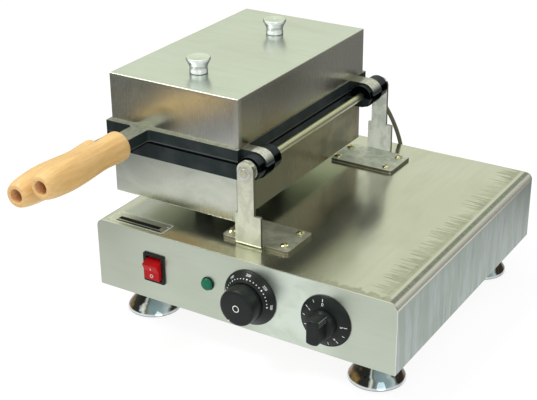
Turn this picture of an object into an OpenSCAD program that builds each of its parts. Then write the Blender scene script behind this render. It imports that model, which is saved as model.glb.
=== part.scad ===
// Twin-plate flip-over waffle cone baker on a sheet-metal control base.
//
// Two heated cast plates under folded steel covers share one long hinge rod that
// is carried by two stands on the base. The closed pair turns over from the left
// half of the base to the right half, and the upper plate opens about the same rod.
//
// Sizes are drawn from the front left top corner of the base: X along the front,
// Y to the back, Z up. place() then moves each part so that the origin is the
// bottom centre of the whole machine's outline. Cutters run a little past the
// faces they open, and joined pieces overlap slightly.

/* [View] */
// Name of the part to draw, or all

/* [Base] */
// Width of the base, left to right
base_w = 350; // [346:1:380]
// Depth of the base, front to back
base_d = 340; // [336:1:370]
// Height of the sheet metal body without the feet
base_h = 77; // [74:1:90]
// Outside bend radius along the two long top edges
bend_r = 8; // [4:0.5:12]
// Thickness of the folded sheet
sheet_t = 1.5; // [1:0.1:2]
// Width of the inward bottom flanges
flange_w = 14; // [10:1:18]

/* [Feet] */
// Height of a foot, screwed fully in
foot_h = 36.5; // [34:0.5:44]
// Diameter of the bell's rim
foot_d = 58.6; // [50:0.2:64]
// Distance of a foot's axis from the side of the base
foot_in_x = 39; // [36:1:60]
// Distance of a foot's axis from the front or back of the base
foot_in_y = 41; // [36:1:60]
// Diameter of the foot's stud
foot_stud_d = 10; // [8:1:12]

/* [Hinge] */
// Distance of the hinge rod from the left side of the base
rod_x = 170.4; // [170:0.1:172]
// Height of the hinge rod over the base top
rod_z = 82.4; // [82:0.1:84]
// Diameter of the hinge rod
rod_d = 8; // [7:0.5:9]
// Radial running clearance of the moulds on the rod
rod_gap = 0.05; // [0.02:0.01:0.08]
// Diameter of the black knuckles of the lower mould
knuckle_d = 25; // [22:0.5:27]

/* [Stands] */
// Thickness of the stand plate
stand_t = 3.5; // [3:0.1:4]
// Width of the stand's foot plate
stand_w = 78; // [76:1:84]
// Distance from the stand's outer face to the inner edge of its foot plate
stand_d = 54; // [50:1:58]
// Outer face of the front stand, from the front of the base
stand_y = 26.4; // [26:0.1:27]
// Width of the arm's lower part
arm_w = 30; // [26:0.5:34]
// Width of the arm's upper part
arm_top_w = 18.9; // [18:0.1:22]
// Height of the shoulder between the two
arm_step = 35.3; // [28:0.1:42]

/* [Moulds] */
// Width of a cast plate
plate_w = 162.9; // [161:0.1:163]
// Length of a cast plate
plate_l = 269.2; // [268:0.1:269.4]
// Thickness of the upper cast plate at its rim
upper_t = 14; // [13:0.1:15]
// Thickness of the lower cast plate at its rim
lower_t = 17.5; // [16:0.1:18]
// Height of the upper cover
upper_cover_h = 51.4; // [48:0.1:53]
// Height of the lower cover
lower_cover_h = 49.9; // [48:0.1:51]
// Ledge of the plate outside its cover
ledge = 4.4; // [3:0.1:5]
// Sheet thickness of the covers
cover_t = 1.2; // [0.8:0.1:1.5]
// Play left under a knob when the mould rests on the base
rest_gap = 0.2; // [0.1:0.1:0.4]
// Diameter of a round baking area
disc_d = 122; // [110:1:124]
// Depth of the baking area
disc_depth = 0.8; // [0.5:0.1:1.2]
// Pitch of the diamond grid
grid_pitch = 9; // [8:0.5:14]
// Width of a grid groove
grid_w = 1.8; // [1:0.1:2.4]
// Depth of a grid groove below the baking area
grid_depth = 1; // [0.5:0.1:1.5]

/* [Handles] */
// Length of a wooden handle
handle_l = 117.5; // [110:0.5:130]
// Largest diameter of a handle
handle_d = 34; // [30:0.5:35]
// Diameter of the hole in the free end
handle_hole_d = 14; // [10:0.5:15]
// Distance of the upper handle from the left side of the base
upper_handle_x = 34.8; // [34:0.1:40]
// Distance of the lower handle from the left side of the base
lower_handle_x = 2.6; // [0:0.1:3]

/* [Knobs] */
// Diameter of a knob's cap
knob_d = 25.5; // [22:0.5:26]
// Distance of the knobs from the left side of the base
knob_x = 74.6; // [72:0.1:77]
// First knob, from the front of the base
knob_y1 = 88.3; // [84:0.1:100]
// Second knob, from the front of the base
knob_y2 = 236.8; // [230:0.1:250]

/* [Controls] */
// Height of the row of controls below the base top
row_z = 38.8; // [36:0.1:42]
// Switch position along the front
switch_x = 73; // [60:0.5:80]
// Pilot lamp position along the front
lamp_x = 139.3; // [130:0.5:145]
// Thermostat position along the front
thermostat_x = 190.2; // [185:0.1:200]
// Timer position along the front
timer_x = 275.5; // [270:0.1:285]
// Diameter of the thermostat dial
thermostat_d = 59.6; // [54:0.2:62]
// Diameter of the thermostat knob
thermostat_knob_d = 40; // [36:0.5:42]
// Distance of the thermostat knob's face from the panel
thermostat_knob_h = 27; // [24:0.5:29]
// Diameter of the timer dial
timer_d = 54.4; // [50:0.2:58]
// Distance of the timer knob's face from the panel
timer_knob_h = 28; // [22:0.5:30]
// Half the travel of the rocker switch
rocker_tilt = 11; // [6:0.5:12]

/* [Hidden] */
$fn = 96;

// base
floor_z = -base_h + sheet_t;       // top face of the bottom plate
flange_cut = 22;                   // flanges stop this far from the corners
bottom_screw_in = 90;              // outer bottom screws from the base corners
foot_x = [foot_in_x, base_w - foot_in_x];
foot_y = [foot_in_y, base_d - foot_in_y];
foot_bore_r = foot_stud_d / 2 + 0.05;

// hinge and stands
rod_r = rod_d / 2;
hinge_mid = stand_y + 142.1;       // the hinge is mirrored about this Y
arm_in = stand_y + stand_t;        // inner face of the front stand
rear_in = 2 * hinge_mid - arm_in;  // inner face of the rear stand
rear_out = 2 * hinge_mid - stand_y;
stand_x0 = rod_x - 33.9;           // left edge of a stand's foot plate
stand_bend_r = 4.5;
stand_hole_r = 2.8;
screw_x = [rod_x - 27.9, rod_x + 34.1];
screw_y = [stand_y + 15.1, stand_y + 46.1];

// [start, end] along Y of the lower mould's knuckles and the upper mould's lugs
lower_spans = [
  [arm_in + 2.3, arm_in + 13.1],
  [arm_in + 28.1, arm_in + 42.6],
  [rear_in - 44.1, rear_in - 38.6],
  [rear_in - 18.6, rear_in - 2.3]
];
upper_spans = [
  [arm_in + 13.9, arm_in + 27.6],
  [rear_in - 38.1, rear_in - 19.1]
];

// moulds; 0 is the left or front edge, 1 the right or rear edge
plate_x1 = rod_x - 16.6;
plate_x0 = plate_x1 - plate_w;
plate_y0 = stand_y + 10.8;
plate_y1 = plate_y0 + plate_l;
cover_x0 = plate_x0 + ledge;
cover_y0 = plate_y0 + ledge;
cover_y1 = plate_y1 - ledge;
upper_cover_x1 = rod_x - 17.9;
lower_cover_x1 = plate_x1 - ledge;
knob_h = rod_z - (upper_t + upper_cover_h) - rest_gap;
low_foot_h = rod_z - (lower_t + lower_cover_h) - rest_gap;

// handles
handle_r = handle_d / 2;
handle_y = 1;                      // where a handle meets its boss
handle_rod_y1 = 34;                // rear end of the threaded rod
upper_handle_z = rod_z + upper_t / 2;
lower_handle_z = rod_z - lower_t / 2 - 0.25;

// controls
control_z = -row_z;
lamp_z = control_z + 0.8;
timer_z = control_z - 0.4;
panel_hole_r = 5.2;                // panel holes of the thermostat and timer
shaft_r = 3;
shaft_bore_r = 3.05;

// leads and power inlet
lead_r = 2.4;
joint_swell = 1.12;                // ball at a tube's bend, relative to the tube
gland_h = 37.4;                    // glands above or below the hinge rod
gland_x = rod_x - 34.4;
jumper_x = rod_x - 50.4;
upper_gland_z = rod_z + gland_h;
lower_gland_z = rod_z - gland_h;
lead_panel_x = rod_x + 12.4;
lead_panel_z = -22;
lead_back = 8.5;                   // the lead's rear bend behind the base
inlet_x = 60;
inlet_z = -42;
inlet_screw_x = [inlet_x - 20, inlet_x + 20];
inlet_pins = [[-7, -2], [7, -2], [0, 2.5]];  // [x, z] from the inlet's centre

// the whole outline and the move to its bottom centre
outline_x0 = min(plate_x0, lower_handle_x - handle_r);
outline_y0 = handle_y - handle_l;
outline_y1 = base_d + lead_back + lead_r * joint_swell;
origin_shift = [-(outline_x0 + base_w) / 2, -(outline_y0 + outline_y1) / 2, base_h + foot_h];

// colours shared by several parts
body_grey = [0.72, 0.72, 0.68];
stand_grey = [0.70, 0.70, 0.66];
cover_grey = [0.72, 0.71, 0.66];
dull_metal = [0.78, 0.78, 0.76];
bright_metal = [0.80, 0.80, 0.78];
foot_chrome = [0.85, 0.85, 0.86];
knob_chrome = [0.82, 0.82, 0.83];
cast_black = [0.09, 0.10, 0.12];
dial_black = [0.07, 0.07, 0.07];
deep_black = [0.05, 0.05, 0.05];
heater_brown = [0.45, 0.42, 0.38];
insulation_white = [0.86, 0.84, 0.78];
wood = [0.86, 0.66, 0.42];
handle_rod_grey = [0.7, 0.7, 0.68];
lead_olive = [0.34, 0.33, 0.24];

// ---------- helpers ----------

module place() translate(origin_shift) children();

// a front view outline (X, Z) drawn from depth y0 to y1
module extrude_y(y0, y1)
  translate([0, y1, 0]) rotate([90, 0, 0]) linear_extrude(y1 - y0) children();

// a side view outline (Y, Z) drawn from x0 to x1
module extrude_x(x0, x1)
  translate([x0, 0, 0]) rotate([90, 0, 90]) linear_extrude(x1 - x0) children();

// a box given by its faces
module box(x0, x1, y0, y1, z0, z1)
  translate([x0, y0, z0]) cube([x1 - x0, y1 - y0, z1 - z0]);

// a box w wide and h high, centred on (x, z), from depth y0 to y1
module block(x, z, w, h, y0, y1) box(x - w / 2, x + w / 2, y0, y1, z - h / 2, z + h / 2);

// a cylinder along Y
module cyl_y(x, z, r, y0, y1)
  translate([x, y0, z]) rotate([-90, 0, 0]) cylinder(r = r, h = y1 - y0);

module rounded_rect(x0, x1, y0, y1, r) {
  translate([x0 + r, y0]) square([x1 - x0 - 2 * r, y1 - y0]);
  translate([x0, y0 + r]) square([x1 - x0, y1 - y0 - 2 * r]);
  for (x = [x0 + r, x1 - r], y = [y0 + r, y1 - r]) translate([x, y]) circle(r);
}

// one straight length of a round tube between two points
module straight_tube(start, end, r) {
  run = end - start;
  length = norm(run);
  translate(start)
    rotate([0, acos(run[2] / length), atan2(run[1], run[0])])
      cylinder(r = r, h = length, $fn = 32);
}

// a bent tube through a row of points, with a ball at each bend
module tube(points, r) {
  for (i = [0 : len(points) - 2]) straight_tube(points[i], points[i + 1], r);
  for (i = [1 : len(points) - 2]) translate(points[i]) sphere(r = r * joint_swell, $fn = 32);
}

module hex_nut(across_flats, h, bore_r) difference() {
  cylinder(r = across_flats / 2 / cos(30), h = h, $fn = 6);
  translate([0, 0, -1]) cylinder(r = bore_r, h = h + 2, $fn = 48);
}

// a slotted pan head screw, head underside at z = 0
module pan_screw(r, head_r, head_h, length) difference() {
  union() {
    rotate_extrude($fn = 48) polygon([
      [0, 0], [head_r, 0], [head_r, head_h * 0.45], [head_r * 0.72, head_h], [0, head_h]
    ]);
    translate([0, 0, -length]) cylinder(r = r, h = length + 0.5, $fn = 48);
  }
  translate([-head_r - 1, -0.6, head_h - 1.1]) cube([2 * head_r + 2, 1.2, 2]);
}

// the front end of the hinge mirrored to the rear
module mirror_to_rear() translate([0, 2 * hinge_mid, 0]) mirror([0, 1, 0]) children();

module both_ends() {
  children();
  mirror_to_rear() children();
}

// a frame on the front panel whose Z points out to the front
module on_front(x, z) translate([x, 0, z]) rotate([90, 0, 0]) children();

// ---------- base ----------

// front view with rounded top corners, top edge at z = 0
module wrap_outline(w, h, r) {
  translate([0, -h]) square([w, h - r]);
  translate([r, -h]) square([w - 2 * r, h]);
  translate([r, -r]) circle(r);
  translate([w - r, -r]) circle(r);
}

// a bottom flange lying on the bottom plate
module flange(x0, x1, y0, y1) box(x0, x1, y0, y1, floor_z, floor_z + sheet_t);

module bottom_screw_spots() {
  inset = sheet_t + flange_w / 2;
  for (x = [inset, base_w - inset], y = [bottom_screw_in, base_d / 2, base_d - bottom_screw_in])
    translate([x, y, -base_h]) children();
  for (x = [bottom_screw_in, base_w - bottom_screw_in], y = [inset, base_d - inset])
    translate([x, y, -base_h]) children();
}

module bottom_screw_holes()
  bottom_screw_spots() translate([0, 0, -1]) cylinder(r = 2.15, h = 6, $fn = 48);

module stand_screw_spots(z)
  both_ends() for (x = screw_x, y = screw_y) translate([x, y, z]) children();

module base_shell() color(body_grey) place() difference() {
  union() {
    extrude_y(sheet_t, base_d - sheet_t) difference() {
      wrap_outline(base_w, base_h, bend_r);
      translate([sheet_t, -sheet_t])
        wrap_outline(base_w - 2 * sheet_t, base_h, bend_r - sheet_t);
    }
    flange(sheet_t - 0.5, sheet_t + flange_w, flange_cut, base_d - flange_cut);
    flange(base_w - sheet_t - flange_w, base_w - sheet_t + 0.5, flange_cut, base_d - flange_cut);
  }
  stand_screw_spots(-5) cylinder(r = stand_hole_r, h = 10, $fn = 48);
  bottom_screw_holes();
}

module front_panel() color([0.74, 0.74, 0.70]) place() difference() {
  union() {
    extrude_y(0, sheet_t) wrap_outline(base_w, base_h, bend_r);
    flange(flange_cut, base_w - flange_cut, sheet_t - 0.5, sheet_t + flange_w);
  }
  block(switch_x, control_z, 22, 28.4, -1, sheet_t + 1);
  cyl_y(lamp_x, lamp_z, 6.1, -1, sheet_t + 1);
  cyl_y(thermostat_x, control_z, panel_hole_r, -1, sheet_t + 1);
  cyl_y(timer_x, timer_z, panel_hole_r, -1, sheet_t + 1);
  bottom_screw_holes();
}

module rear_panel() color(body_grey) place() difference() {
  union() {
    extrude_y(base_d - sheet_t, base_d) wrap_outline(base_w, base_h, bend_r);
    flange(flange_cut, base_w - flange_cut,
      base_d - sheet_t - flange_w, base_d - sheet_t + 0.5);
  }
  // air slots
  for (x = [232 : 10 : 312]) box(x, x + 4, base_d - 3, base_d + 1, -58, -26);
  // inlet window with its screw holes, and lead hole
  block(inlet_x, inlet_z, 27.6, 20.4, base_d - 3, base_d + 1);
  for (x = inlet_screw_x) cyl_y(x, inlet_z, 1.6, base_d - 3, base_d + 1);
  cyl_y(lead_panel_x, lead_panel_z, 5.6, base_d - 3, base_d + 1);
  bottom_screw_holes();
}

module bottom_plate() color([0.66, 0.66, 0.63]) place() difference() {
  inset = sheet_t + 0.2;
  box(inset, base_w - inset, inset, base_d - inset, -base_h, floor_z);
  for (x = foot_x, y = foot_y)
    translate([x, y, -base_h - 1]) cylinder(r = foot_bore_r, h = 4, $fn = 64);
  // two rows of slots
  for (x = [100 : 12 : 250], y = [120, 180]) box(x, x + 5, y, y + 40, -base_h - 1, -base_h + 3);
  bottom_screw_holes();
}

module bottom_screws() color(dull_metal) place()
  bottom_screw_spots() mirror([0, 0, 1])
    pan_screw(r = 2, head_r = 3.8, head_h = 2.2, length = 7);

module nameplate() color([0.16, 0.16, 0.17]) place()
  linear_extrude(0.4) rounded_rect(11, 81, 4.5, 26.5, 1);

// ---------- stands and hinge ----------

// a bent plate: foot, rolled corner and arm. The arm's lower and upper parts are
// centred low_shift and top_shift to the right of the rod.
module stand(low_shift, top_shift) difference() {
  low_x = rod_x + low_shift;
  top_x = rod_x + top_shift;
  union() {
    linear_extrude(stand_t)
      rounded_rect(stand_x0, stand_x0 + stand_w, stand_y + 5, stand_y + stand_d, 4);
    // the rolled corner with a short straight on each side
    extrude_x(low_x - arm_w / 2, low_x + arm_w / 2) translate([stand_y, 0]) {
      translate([0, stand_bend_r]) square([stand_t, 6]);
      translate([stand_bend_r, 0]) square([8, stand_t]);
      intersection() {
        square([stand_bend_r, stand_bend_r]);
        translate([stand_bend_r, stand_bend_r]) difference() {
          circle(stand_bend_r, $fn = 64);
          circle(stand_bend_r - stand_t, $fn = 64);
        }
      }
    }
    extrude_y(stand_y, arm_in) {
      translate([low_x - arm_w / 2, 5]) square([arm_w, arm_step - 5]);
      translate([top_x - arm_top_w / 2, 6]) square([arm_top_w, rod_z - 6]);
      translate([top_x, rod_z]) circle(arm_top_w / 2);
    }
  }
  cyl_y(rod_x, rod_z, rod_r + 0.02, stand_y - 1, arm_in + 1);
  for (x = screw_x, y = screw_y)
    translate([x, y, -1]) cylinder(r = stand_hole_r, h = stand_t + 2, $fn = 48);
}

module stand_front() color(stand_grey) place() stand(low_shift = 0.8, top_shift = -1.4);

module stand_rear() color(stand_grey) place()
  mirror_to_rear() stand(low_shift = 3.0, top_shift = 1.6);

module stand_screws() color([0.80, 0.74, 0.52]) place()
  stand_screw_spots(stand_t) rotate([0, 0, 35])
    pan_screw(r = 2.5, head_r = 4.7, head_h = 2.8, length = stand_t + 8);

module stand_nuts() color(dull_metal) place()
  stand_screw_spots(-sheet_t - 4) hex_nut(across_flats = 8, h = 4, bore_r = 2.52);

module hinge_rod() color([0.78, 0.78, 0.75]) place()
  cyl_y(rod_x, rod_z, rod_r, stand_y - 5.6, rear_out + 5.6);

module hinge_nuts() color(bright_metal) place() both_ends()
  translate([rod_x, stand_y, rod_z]) rotate([90, 0, 0]) rotate([0, 0, 12])
    hex_nut(across_flats = 13, h = 5, bore_r = rod_r + 0.02);

module hinge_washers() color(bright_metal) place() both_ends() difference() {
  cyl_y(rod_x, rod_z, 10.4, arm_in, arm_in + 2);
  cyl_y(rod_x, rod_z, rod_r + 0.2, arm_in - 1, arm_in + 3);
}

// ---------- controls ----------

module switch_housing() color([0.06, 0.06, 0.06]) place() difference() {
  union() {
    extrude_y(-2, 0)
      rounded_rect(switch_x - 13, switch_x + 13, control_z - 16.3, control_z + 16.3, 1.5);
    block(switch_x, control_z, 21.6, 28, -0.5, 24);
    // rear tabs
    for (x = [-6, 6], z = [-9, 0, 9]) block(switch_x + x, control_z + z, 4.8, 0.8, 23.5, 32);
  }
  block(switch_x, control_z, 18.8, 26.4, -3, 10);
}

// side view [y, z] of the rocker about its pivot; the first points are its front face
rocker_outline = [
  [-12.2, 9], [-11.4, 9.4], [-4, 10.5], [3, 10.8], [3, -10.8],
  [-4, -10.5], [-11.4, -9.4], [-12.2, -9], [-10.3, 0]
];

module switch_rocker() color([0.75, 0.03, 0.04]) place()
  extrude_x(switch_x - 9.2, switch_x + 9.2)
    translate([4, control_z]) rotate(rocker_tilt) polygon(rocker_outline);

// The turned profiles below are [radius, distance out from the panel].

module pilot_lamp_lens() color([0.05, 0.35, 0.22]) place() on_front(lamp_x, lamp_z)
  rotate_extrude($fn = 64)
    polygon([[0, 0.6], [7.5, 0.6], [7.5, 2.2], [6.6, 3.2], [4.2, 4.2], [0, 4.6]]);

module pilot_lamp_body() color([0.08, 0.08, 0.08]) place() {
  cyl_y(lamp_x, lamp_z, 7, -0.6, 0);
  cyl_y(lamp_x, lamp_z, 6, -0.3, 20);
  cyl_y(lamp_x, lamp_z, 8, sheet_t, sheet_t + 3);
  for (x = [-3, 3]) block(lamp_x + x, lamp_z, 0.8, 4.8, 19.5, 27);
}

module thermostat_dial() color(dial_black) place()
  on_front(thermostat_x, control_z) difference() {
    rim_r = thermostat_d / 2;
    top_r = thermostat_knob_d / 2;
    rotate_extrude($fn = 96) polygon([
      [0, 0], [rim_r, 0], [rim_r, 1.4], [rim_r - 0.6, 2.2],
      [top_r + 1.2, 9.6], [top_r + 0.2, 10], [0, 10]
    ]);
    translate([0, 0, -1]) cylinder(r = 5.3, h = 12, $fn = 48);
  }

module thermostat_knob() color(deep_black) place() on_front(thermostat_x, control_z) {
  knob_r = thermostat_knob_d / 2;
  rotate_extrude($fn = 96) polygon([
    [0, 10.5], [knob_r - 0.6, 10.5], [knob_r, 11.2],
    [knob_r - 0.7, thermostat_knob_h - 2], [knob_r - 2.4, thermostat_knob_h],
    [0, thermostat_knob_h]
  ]);
  translate([0, 0, -10]) cylinder(r = shaft_r, h = 22, $fn = 48);
}

module thermostat_body() color([0.62, 0.60, 0.55]) place() difference() {
  union() {
    block(thermostat_x, control_z, 34, 32, sheet_t + 2, 34);
    cyl_y(thermostat_x, control_z, 5, -0.5, sheet_t + 3);
    block(thermostat_x, control_z, 44, 16, sheet_t, sheet_t + 2.2);
    for (x = [-10, 10]) block(thermostat_x + x, control_z + 6.4, 6.2, 0.8, 33.5, 42);
  }
  cyl_y(thermostat_x, control_z, shaft_bore_r, -2, 12);
}

module timer_dial() color(dial_black) place() on_front(timer_x, timer_z)
  rotate_extrude($fn = 96) polygon([
    [panel_hole_r, 0], [timer_d / 2, 0], [timer_d / 2, 1.6], [timer_d / 2 - 1.4, 2.3],
    [15.4, 5], [panel_hole_r, 5]
  ]);

module timer_knob() color(deep_black) place() on_front(timer_x, timer_z) {
  rotate_extrude($fn = 96) polygon([[0, 5.8], [14.2, 5.8], [14.6, 6.6], [13.8, 12], [0, 13]]);
  // upright grip bar
  intersection() {
    translate([0, 0, 7]) cylinder(r1 = 14.2, r2 = 13.2, h = timer_knob_h - 7, $fn = 96);
    linear_extrude(timer_knob_h + 1) polygon([[-7, -20], [7, -20], [7, 20], [-7, 20]]);
  }
  translate([0, 0, -10]) cylinder(r = shaft_r, h = 18, $fn = 48);
}

module timer_body() color([0.75, 0.73, 0.66]) place() difference() {
  union() {
    block(timer_x, control_z, 50, 44, sheet_t + 2, 40);
    cyl_y(timer_x, timer_z, 5, -0.5, sheet_t + 3);
    block(timer_x, control_z, 58, 20, sheet_t, sheet_t + 2.2);
    for (x = [-14, 14]) block(timer_x + x, control_z, 6.2, 0.8, 39.5, 48);
  }
  cyl_y(timer_x, timer_z, shaft_bore_r, -2, 12);
}

// ---------- inside the base ----------

terminal_z = floor_z + 12;  // height at which wires meet the terminals

// centre of terminal i, counted from 0 at the left
function terminal_x(i) = 157 + 11.4 * i;

module terminal_block() color([0.85, 0.83, 0.76]) place() difference() {
  union() {
    box(150, 210, 250, 272, floor_z, floor_z + 6);
    for (i = [0 : 4])
      box(terminal_x(i) - 5, terminal_x(i) + 5, 252, 270, floor_z + 5, floor_z + 20);
  }
  for (i = [0 : 4], y = [256, 266])
    translate([terminal_x(i), y, floor_z + 14]) cylinder(r = 2.4, h = 10, $fn = 32);
}

// a wire arriving at terminal i from the front
module front_wire(points, i)
  tube(concat(points, [[terminal_x(i), 240, terminal_z + 2], [terminal_x(i), 251.4, terminal_z]]),
    1.6);

module inner_wiring() color([0.70, 0.12, 0.10]) place() {
  // from the switch, the thermostat and the timer
  front_wire([
    [switch_x + 6, 33, control_z],
    [switch_x + 10, 48, control_z - 4],
    [120, 150, terminal_z + 6]
  ], 0);
  front_wire([
    [thermostat_x + 10, 43, control_z + 6.4],
    [thermostat_x + 12, 60, control_z],
    [175, 160, terminal_z + 4]
  ], 1);
  front_wire([
    [timer_x - 14, 49, control_z],
    [timer_x - 20, 66, control_z - 2],
    [215, 170, terminal_z + 4]
  ], 2);
  // from the pilot lamp
  tube([
    [lamp_x + 3, 27.8, lamp_z],
    [lamp_x + 4, 44, control_z - 4],
    [150, 120, terminal_z + 14],
    [terminal_x(3), 236, terminal_z + 10],
    [terminal_x(3), 251, terminal_z]
  ], 1.2);
  // to the lead's bushing
  tube([
    [terminal_x(4), 270.8, terminal_z],
    [terminal_x(4), 290, terminal_z + 4],
    [lead_panel_x, 322, lead_panel_z],
    [lead_panel_x, 331.4, lead_panel_z]
  ], 2);
  // from the power inlet
  tube([
    [inlet_x, 305.4, inlet_z],
    [inlet_x + 6, 294, inlet_z - 6],
    [120, 286, terminal_z + 8],
    [terminal_x(0), 280, terminal_z + 2],
    [terminal_x(0), 270.8, terminal_z]
  ], 1.8);
}

module power_inlet() color(dial_black) place() difference() {
  union() {
    extrude_y(base_d, base_d + 3)
      rounded_rect(inlet_x - 25, inlet_x + 25, inlet_z - 12, inlet_z + 12, 4);
    block(inlet_x, inlet_z, 27, 20, base_d - 26, base_d + 0.5);
    for (pin = inlet_pins)
      block(inlet_x + pin[0], inlet_z + pin[1], 4.8, 0.8, base_d - 33, base_d - 25);
  }
  // the socket, leaving its pins standing
  difference() {
    block(inlet_x, inlet_z, 23.2, 15.6, base_d - 15, base_d + 5);
    for (pin = inlet_pins)
      block(inlet_x + pin[0], inlet_z + pin[1], 2, 4, base_d - 16, base_d - 1);
  }
  for (x = inlet_screw_x) cyl_y(x, inlet_z, 1.6, base_d - 1, base_d + 5);
}

module inlet_screws() color(bright_metal) place() for (x = inlet_screw_x)
  translate([x, base_d + 3, inlet_z]) rotate([-90, 0, 0])
    pan_screw(r = 1.5, head_r = 3, head_h = 1.8, length = 9);

module lead_bushing() color(deep_black) place() difference() {
  union() {
    cyl_y(lead_panel_x, lead_panel_z, 5.5, base_d - 4, base_d + 2);
    cyl_y(lead_panel_x, lead_panel_z, 7.5, base_d, base_d + 2.5);
    cyl_y(lead_panel_x, lead_panel_z, 7.5, base_d - 4, base_d - sheet_t);
  }
  cyl_y(lead_panel_x, lead_panel_z + 1.3, lead_r + 0.8, base_d - 5, base_d + 4);
}

// out of the rear panel, up behind the rear stand and into the lower mould
module lower_lead() color(lead_olive) place() {
  back_y = base_d + lead_back;
  arm_y = rear_out + 4.6;
  tube([
    [lead_panel_x, base_d - 8, lead_panel_z],
    [lead_panel_x, back_y, lead_panel_z + 3],
    [lead_panel_x - 1.5, back_y - 5, 4],
    [rod_x + 9.2, arm_y + 5, 44],
    [rod_x - 5.4, arm_y + 1, 61],
    [gland_x, arm_y + 2, lower_gland_z + 3],
    [gland_x, 308.4, lower_gland_z]
  ], lead_r);
}

// ---------- feet ----------

// [radius, z] of the hollow bell, z = 0 at the underside of the base
bell_profile = [
  [0, -8], [9.5, -8], [9.5, -13], [12, -16], [16, -20], [20.5, -24], [24.5, -28], [27.5, -31.5],
  [foot_d / 2, -34], [foot_d / 2, -35.2], [foot_d / 2 - 1.5, -35.2],
  [foot_d / 2 - 4, -31.5], [20, -27], [11, -22], [0, -20]
];

module foot() {
  rotate_extrude($fn = 96) polygon(bell_profile);
  translate([0, 0, -10]) cylinder(r = foot_stud_d / 2, h = 32, $fn = 64);
  translate([0, 0, -8]) cylinder(r = 8.5, h = 4, $fn = 6);
}

// the ring under a foot
module pad() translate([0, 0, -foot_h]) difference() {
  cylinder(r = foot_d / 2 - 4.2, h = 4, $fn = 64);
  translate([0, 0, -1]) cylinder(r = 12, h = 6, $fn = 48);
}

// side: 0 left, 1 right; end: 0 front, 1 rear
module foot_at(side, end) translate([foot_x[side], foot_y[end], -base_h]) children();

module foot_nuts() color(dull_metal) place() for (side = [0, 1], end = [0, 1])
  foot_at(side, end) translate([0, 0, sheet_t])
    hex_nut(across_flats = 17, h = 8, bore_r = foot_bore_r);

module foot_front_left() color(foot_chrome) place() foot_at(0, 0) foot();
module foot_front_right() color(foot_chrome) place() foot_at(1, 0) foot();
module foot_rear_left() color(foot_chrome) place() foot_at(0, 1) foot();
module foot_rear_right() color(foot_chrome) place() foot_at(1, 1) foot();
module pad_front_left() color(deep_black) place() foot_at(0, 0) pad();
module pad_front_right() color(deep_black) place() foot_at(1, 0) pad();
module pad_rear_left() color(deep_black) place() foot_at(0, 1) pad();
module pad_rear_right() color(deep_black) place() foot_at(1, 1) pad();

// ---------- mould pieces ----------
// Drawn with the parting plane at z = 0 and their body upwards. rim_t is the cast
// plate's rim thickness, cover_h the cover's height and knob_height a knob's.

disc_x = (plate_x0 + plate_x1) / 2;
disc_y = [for (offset_y = [-64.5, 64.5]) (plate_y0 + plate_y1) / 2 + offset_y];
raised_h = 9;              // raised middle of a plate above its rim
boss_half_w = 10.4;
fillet_r = 4;
stud_r = 3;
stud_bore_r = stud_r + 0.02;
stud_sink = 4;             // studs and their holes start this far below the rim top
stud_share = 0.6;          // part of a knob's height that its stud fills

// U-shaped heater, bent at the front
heater_r = 4;
heater_z = 4.5;            // heater axis above the rim
heater_bend_r = 30;
heater_x = [knob_x - heater_bend_r, knob_x + heater_bend_r];
heater_y0 = 84;
heater_y1 = 268;
channel_r = 4.3;           // half width of the channel
channel_z = -4.4;          // channel bottom from the heater axis

module upper_frame() place() translate([0, 0, rod_z]) children();
module lower_frame() place() translate([0, 0, rod_z]) mirror([0, 0, 1]) children();

module knob_spots(z) for (y = [knob_y1, knob_y2]) translate([knob_x, y, z]) children();

// baking area with its diamond grid, cut into the face at z = 0
module baking_area() {
  disc_r = disc_d / 2;
  translate([0, 0, -1]) cylinder(r = disc_r, h = 1 + disc_depth, $fn = 96);
  intersection() {
    cylinder(r = disc_r - 1.5, h = disc_depth + grid_depth, $fn = 96);
    for (angle = [45, -45]) rotate([0, 0, angle])
      for (i = [-7 : 7]) if (abs(i * grid_pitch) < disc_r - 4)
        translate([-disc_d, i * grid_pitch - grid_w / 2, -0.5])
          cube([2 * disc_d, grid_w, disc_depth + grid_depth + 0.5]);
  }
}

module heater_channel(rim_t) translate([0, 0, rim_t + heater_z]) {
  for (x = heater_x) translate([x - channel_r, heater_y0, channel_z])
    cube([2 * channel_r, heater_y1 - heater_y0 + 20, 12]);
  translate([knob_x, heater_y0, channel_z]) difference() {
    cylinder(r = heater_bend_r + channel_r, h = 12);
    translate([0, 0, -1]) cylinder(r = heater_bend_r - channel_r, h = 14);
    translate([-50, 0, -1]) cube([100, 50, 14]);
  }
}

// the hollow corner between a handle boss and the plate; side: -1 left, 1 right
module boss_fillet(x, side, rim_t) translate([x, plate_y0, 0]) linear_extrude(rim_t) difference() {
  translate([side > 0 ? -0.5 : -fillet_r, -fillet_r]) square([fillet_r + 0.5, fillet_r + 0.5]);
  translate([side * fillet_r, -fillet_r]) circle(fillet_r, $fn = 48);
}

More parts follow.
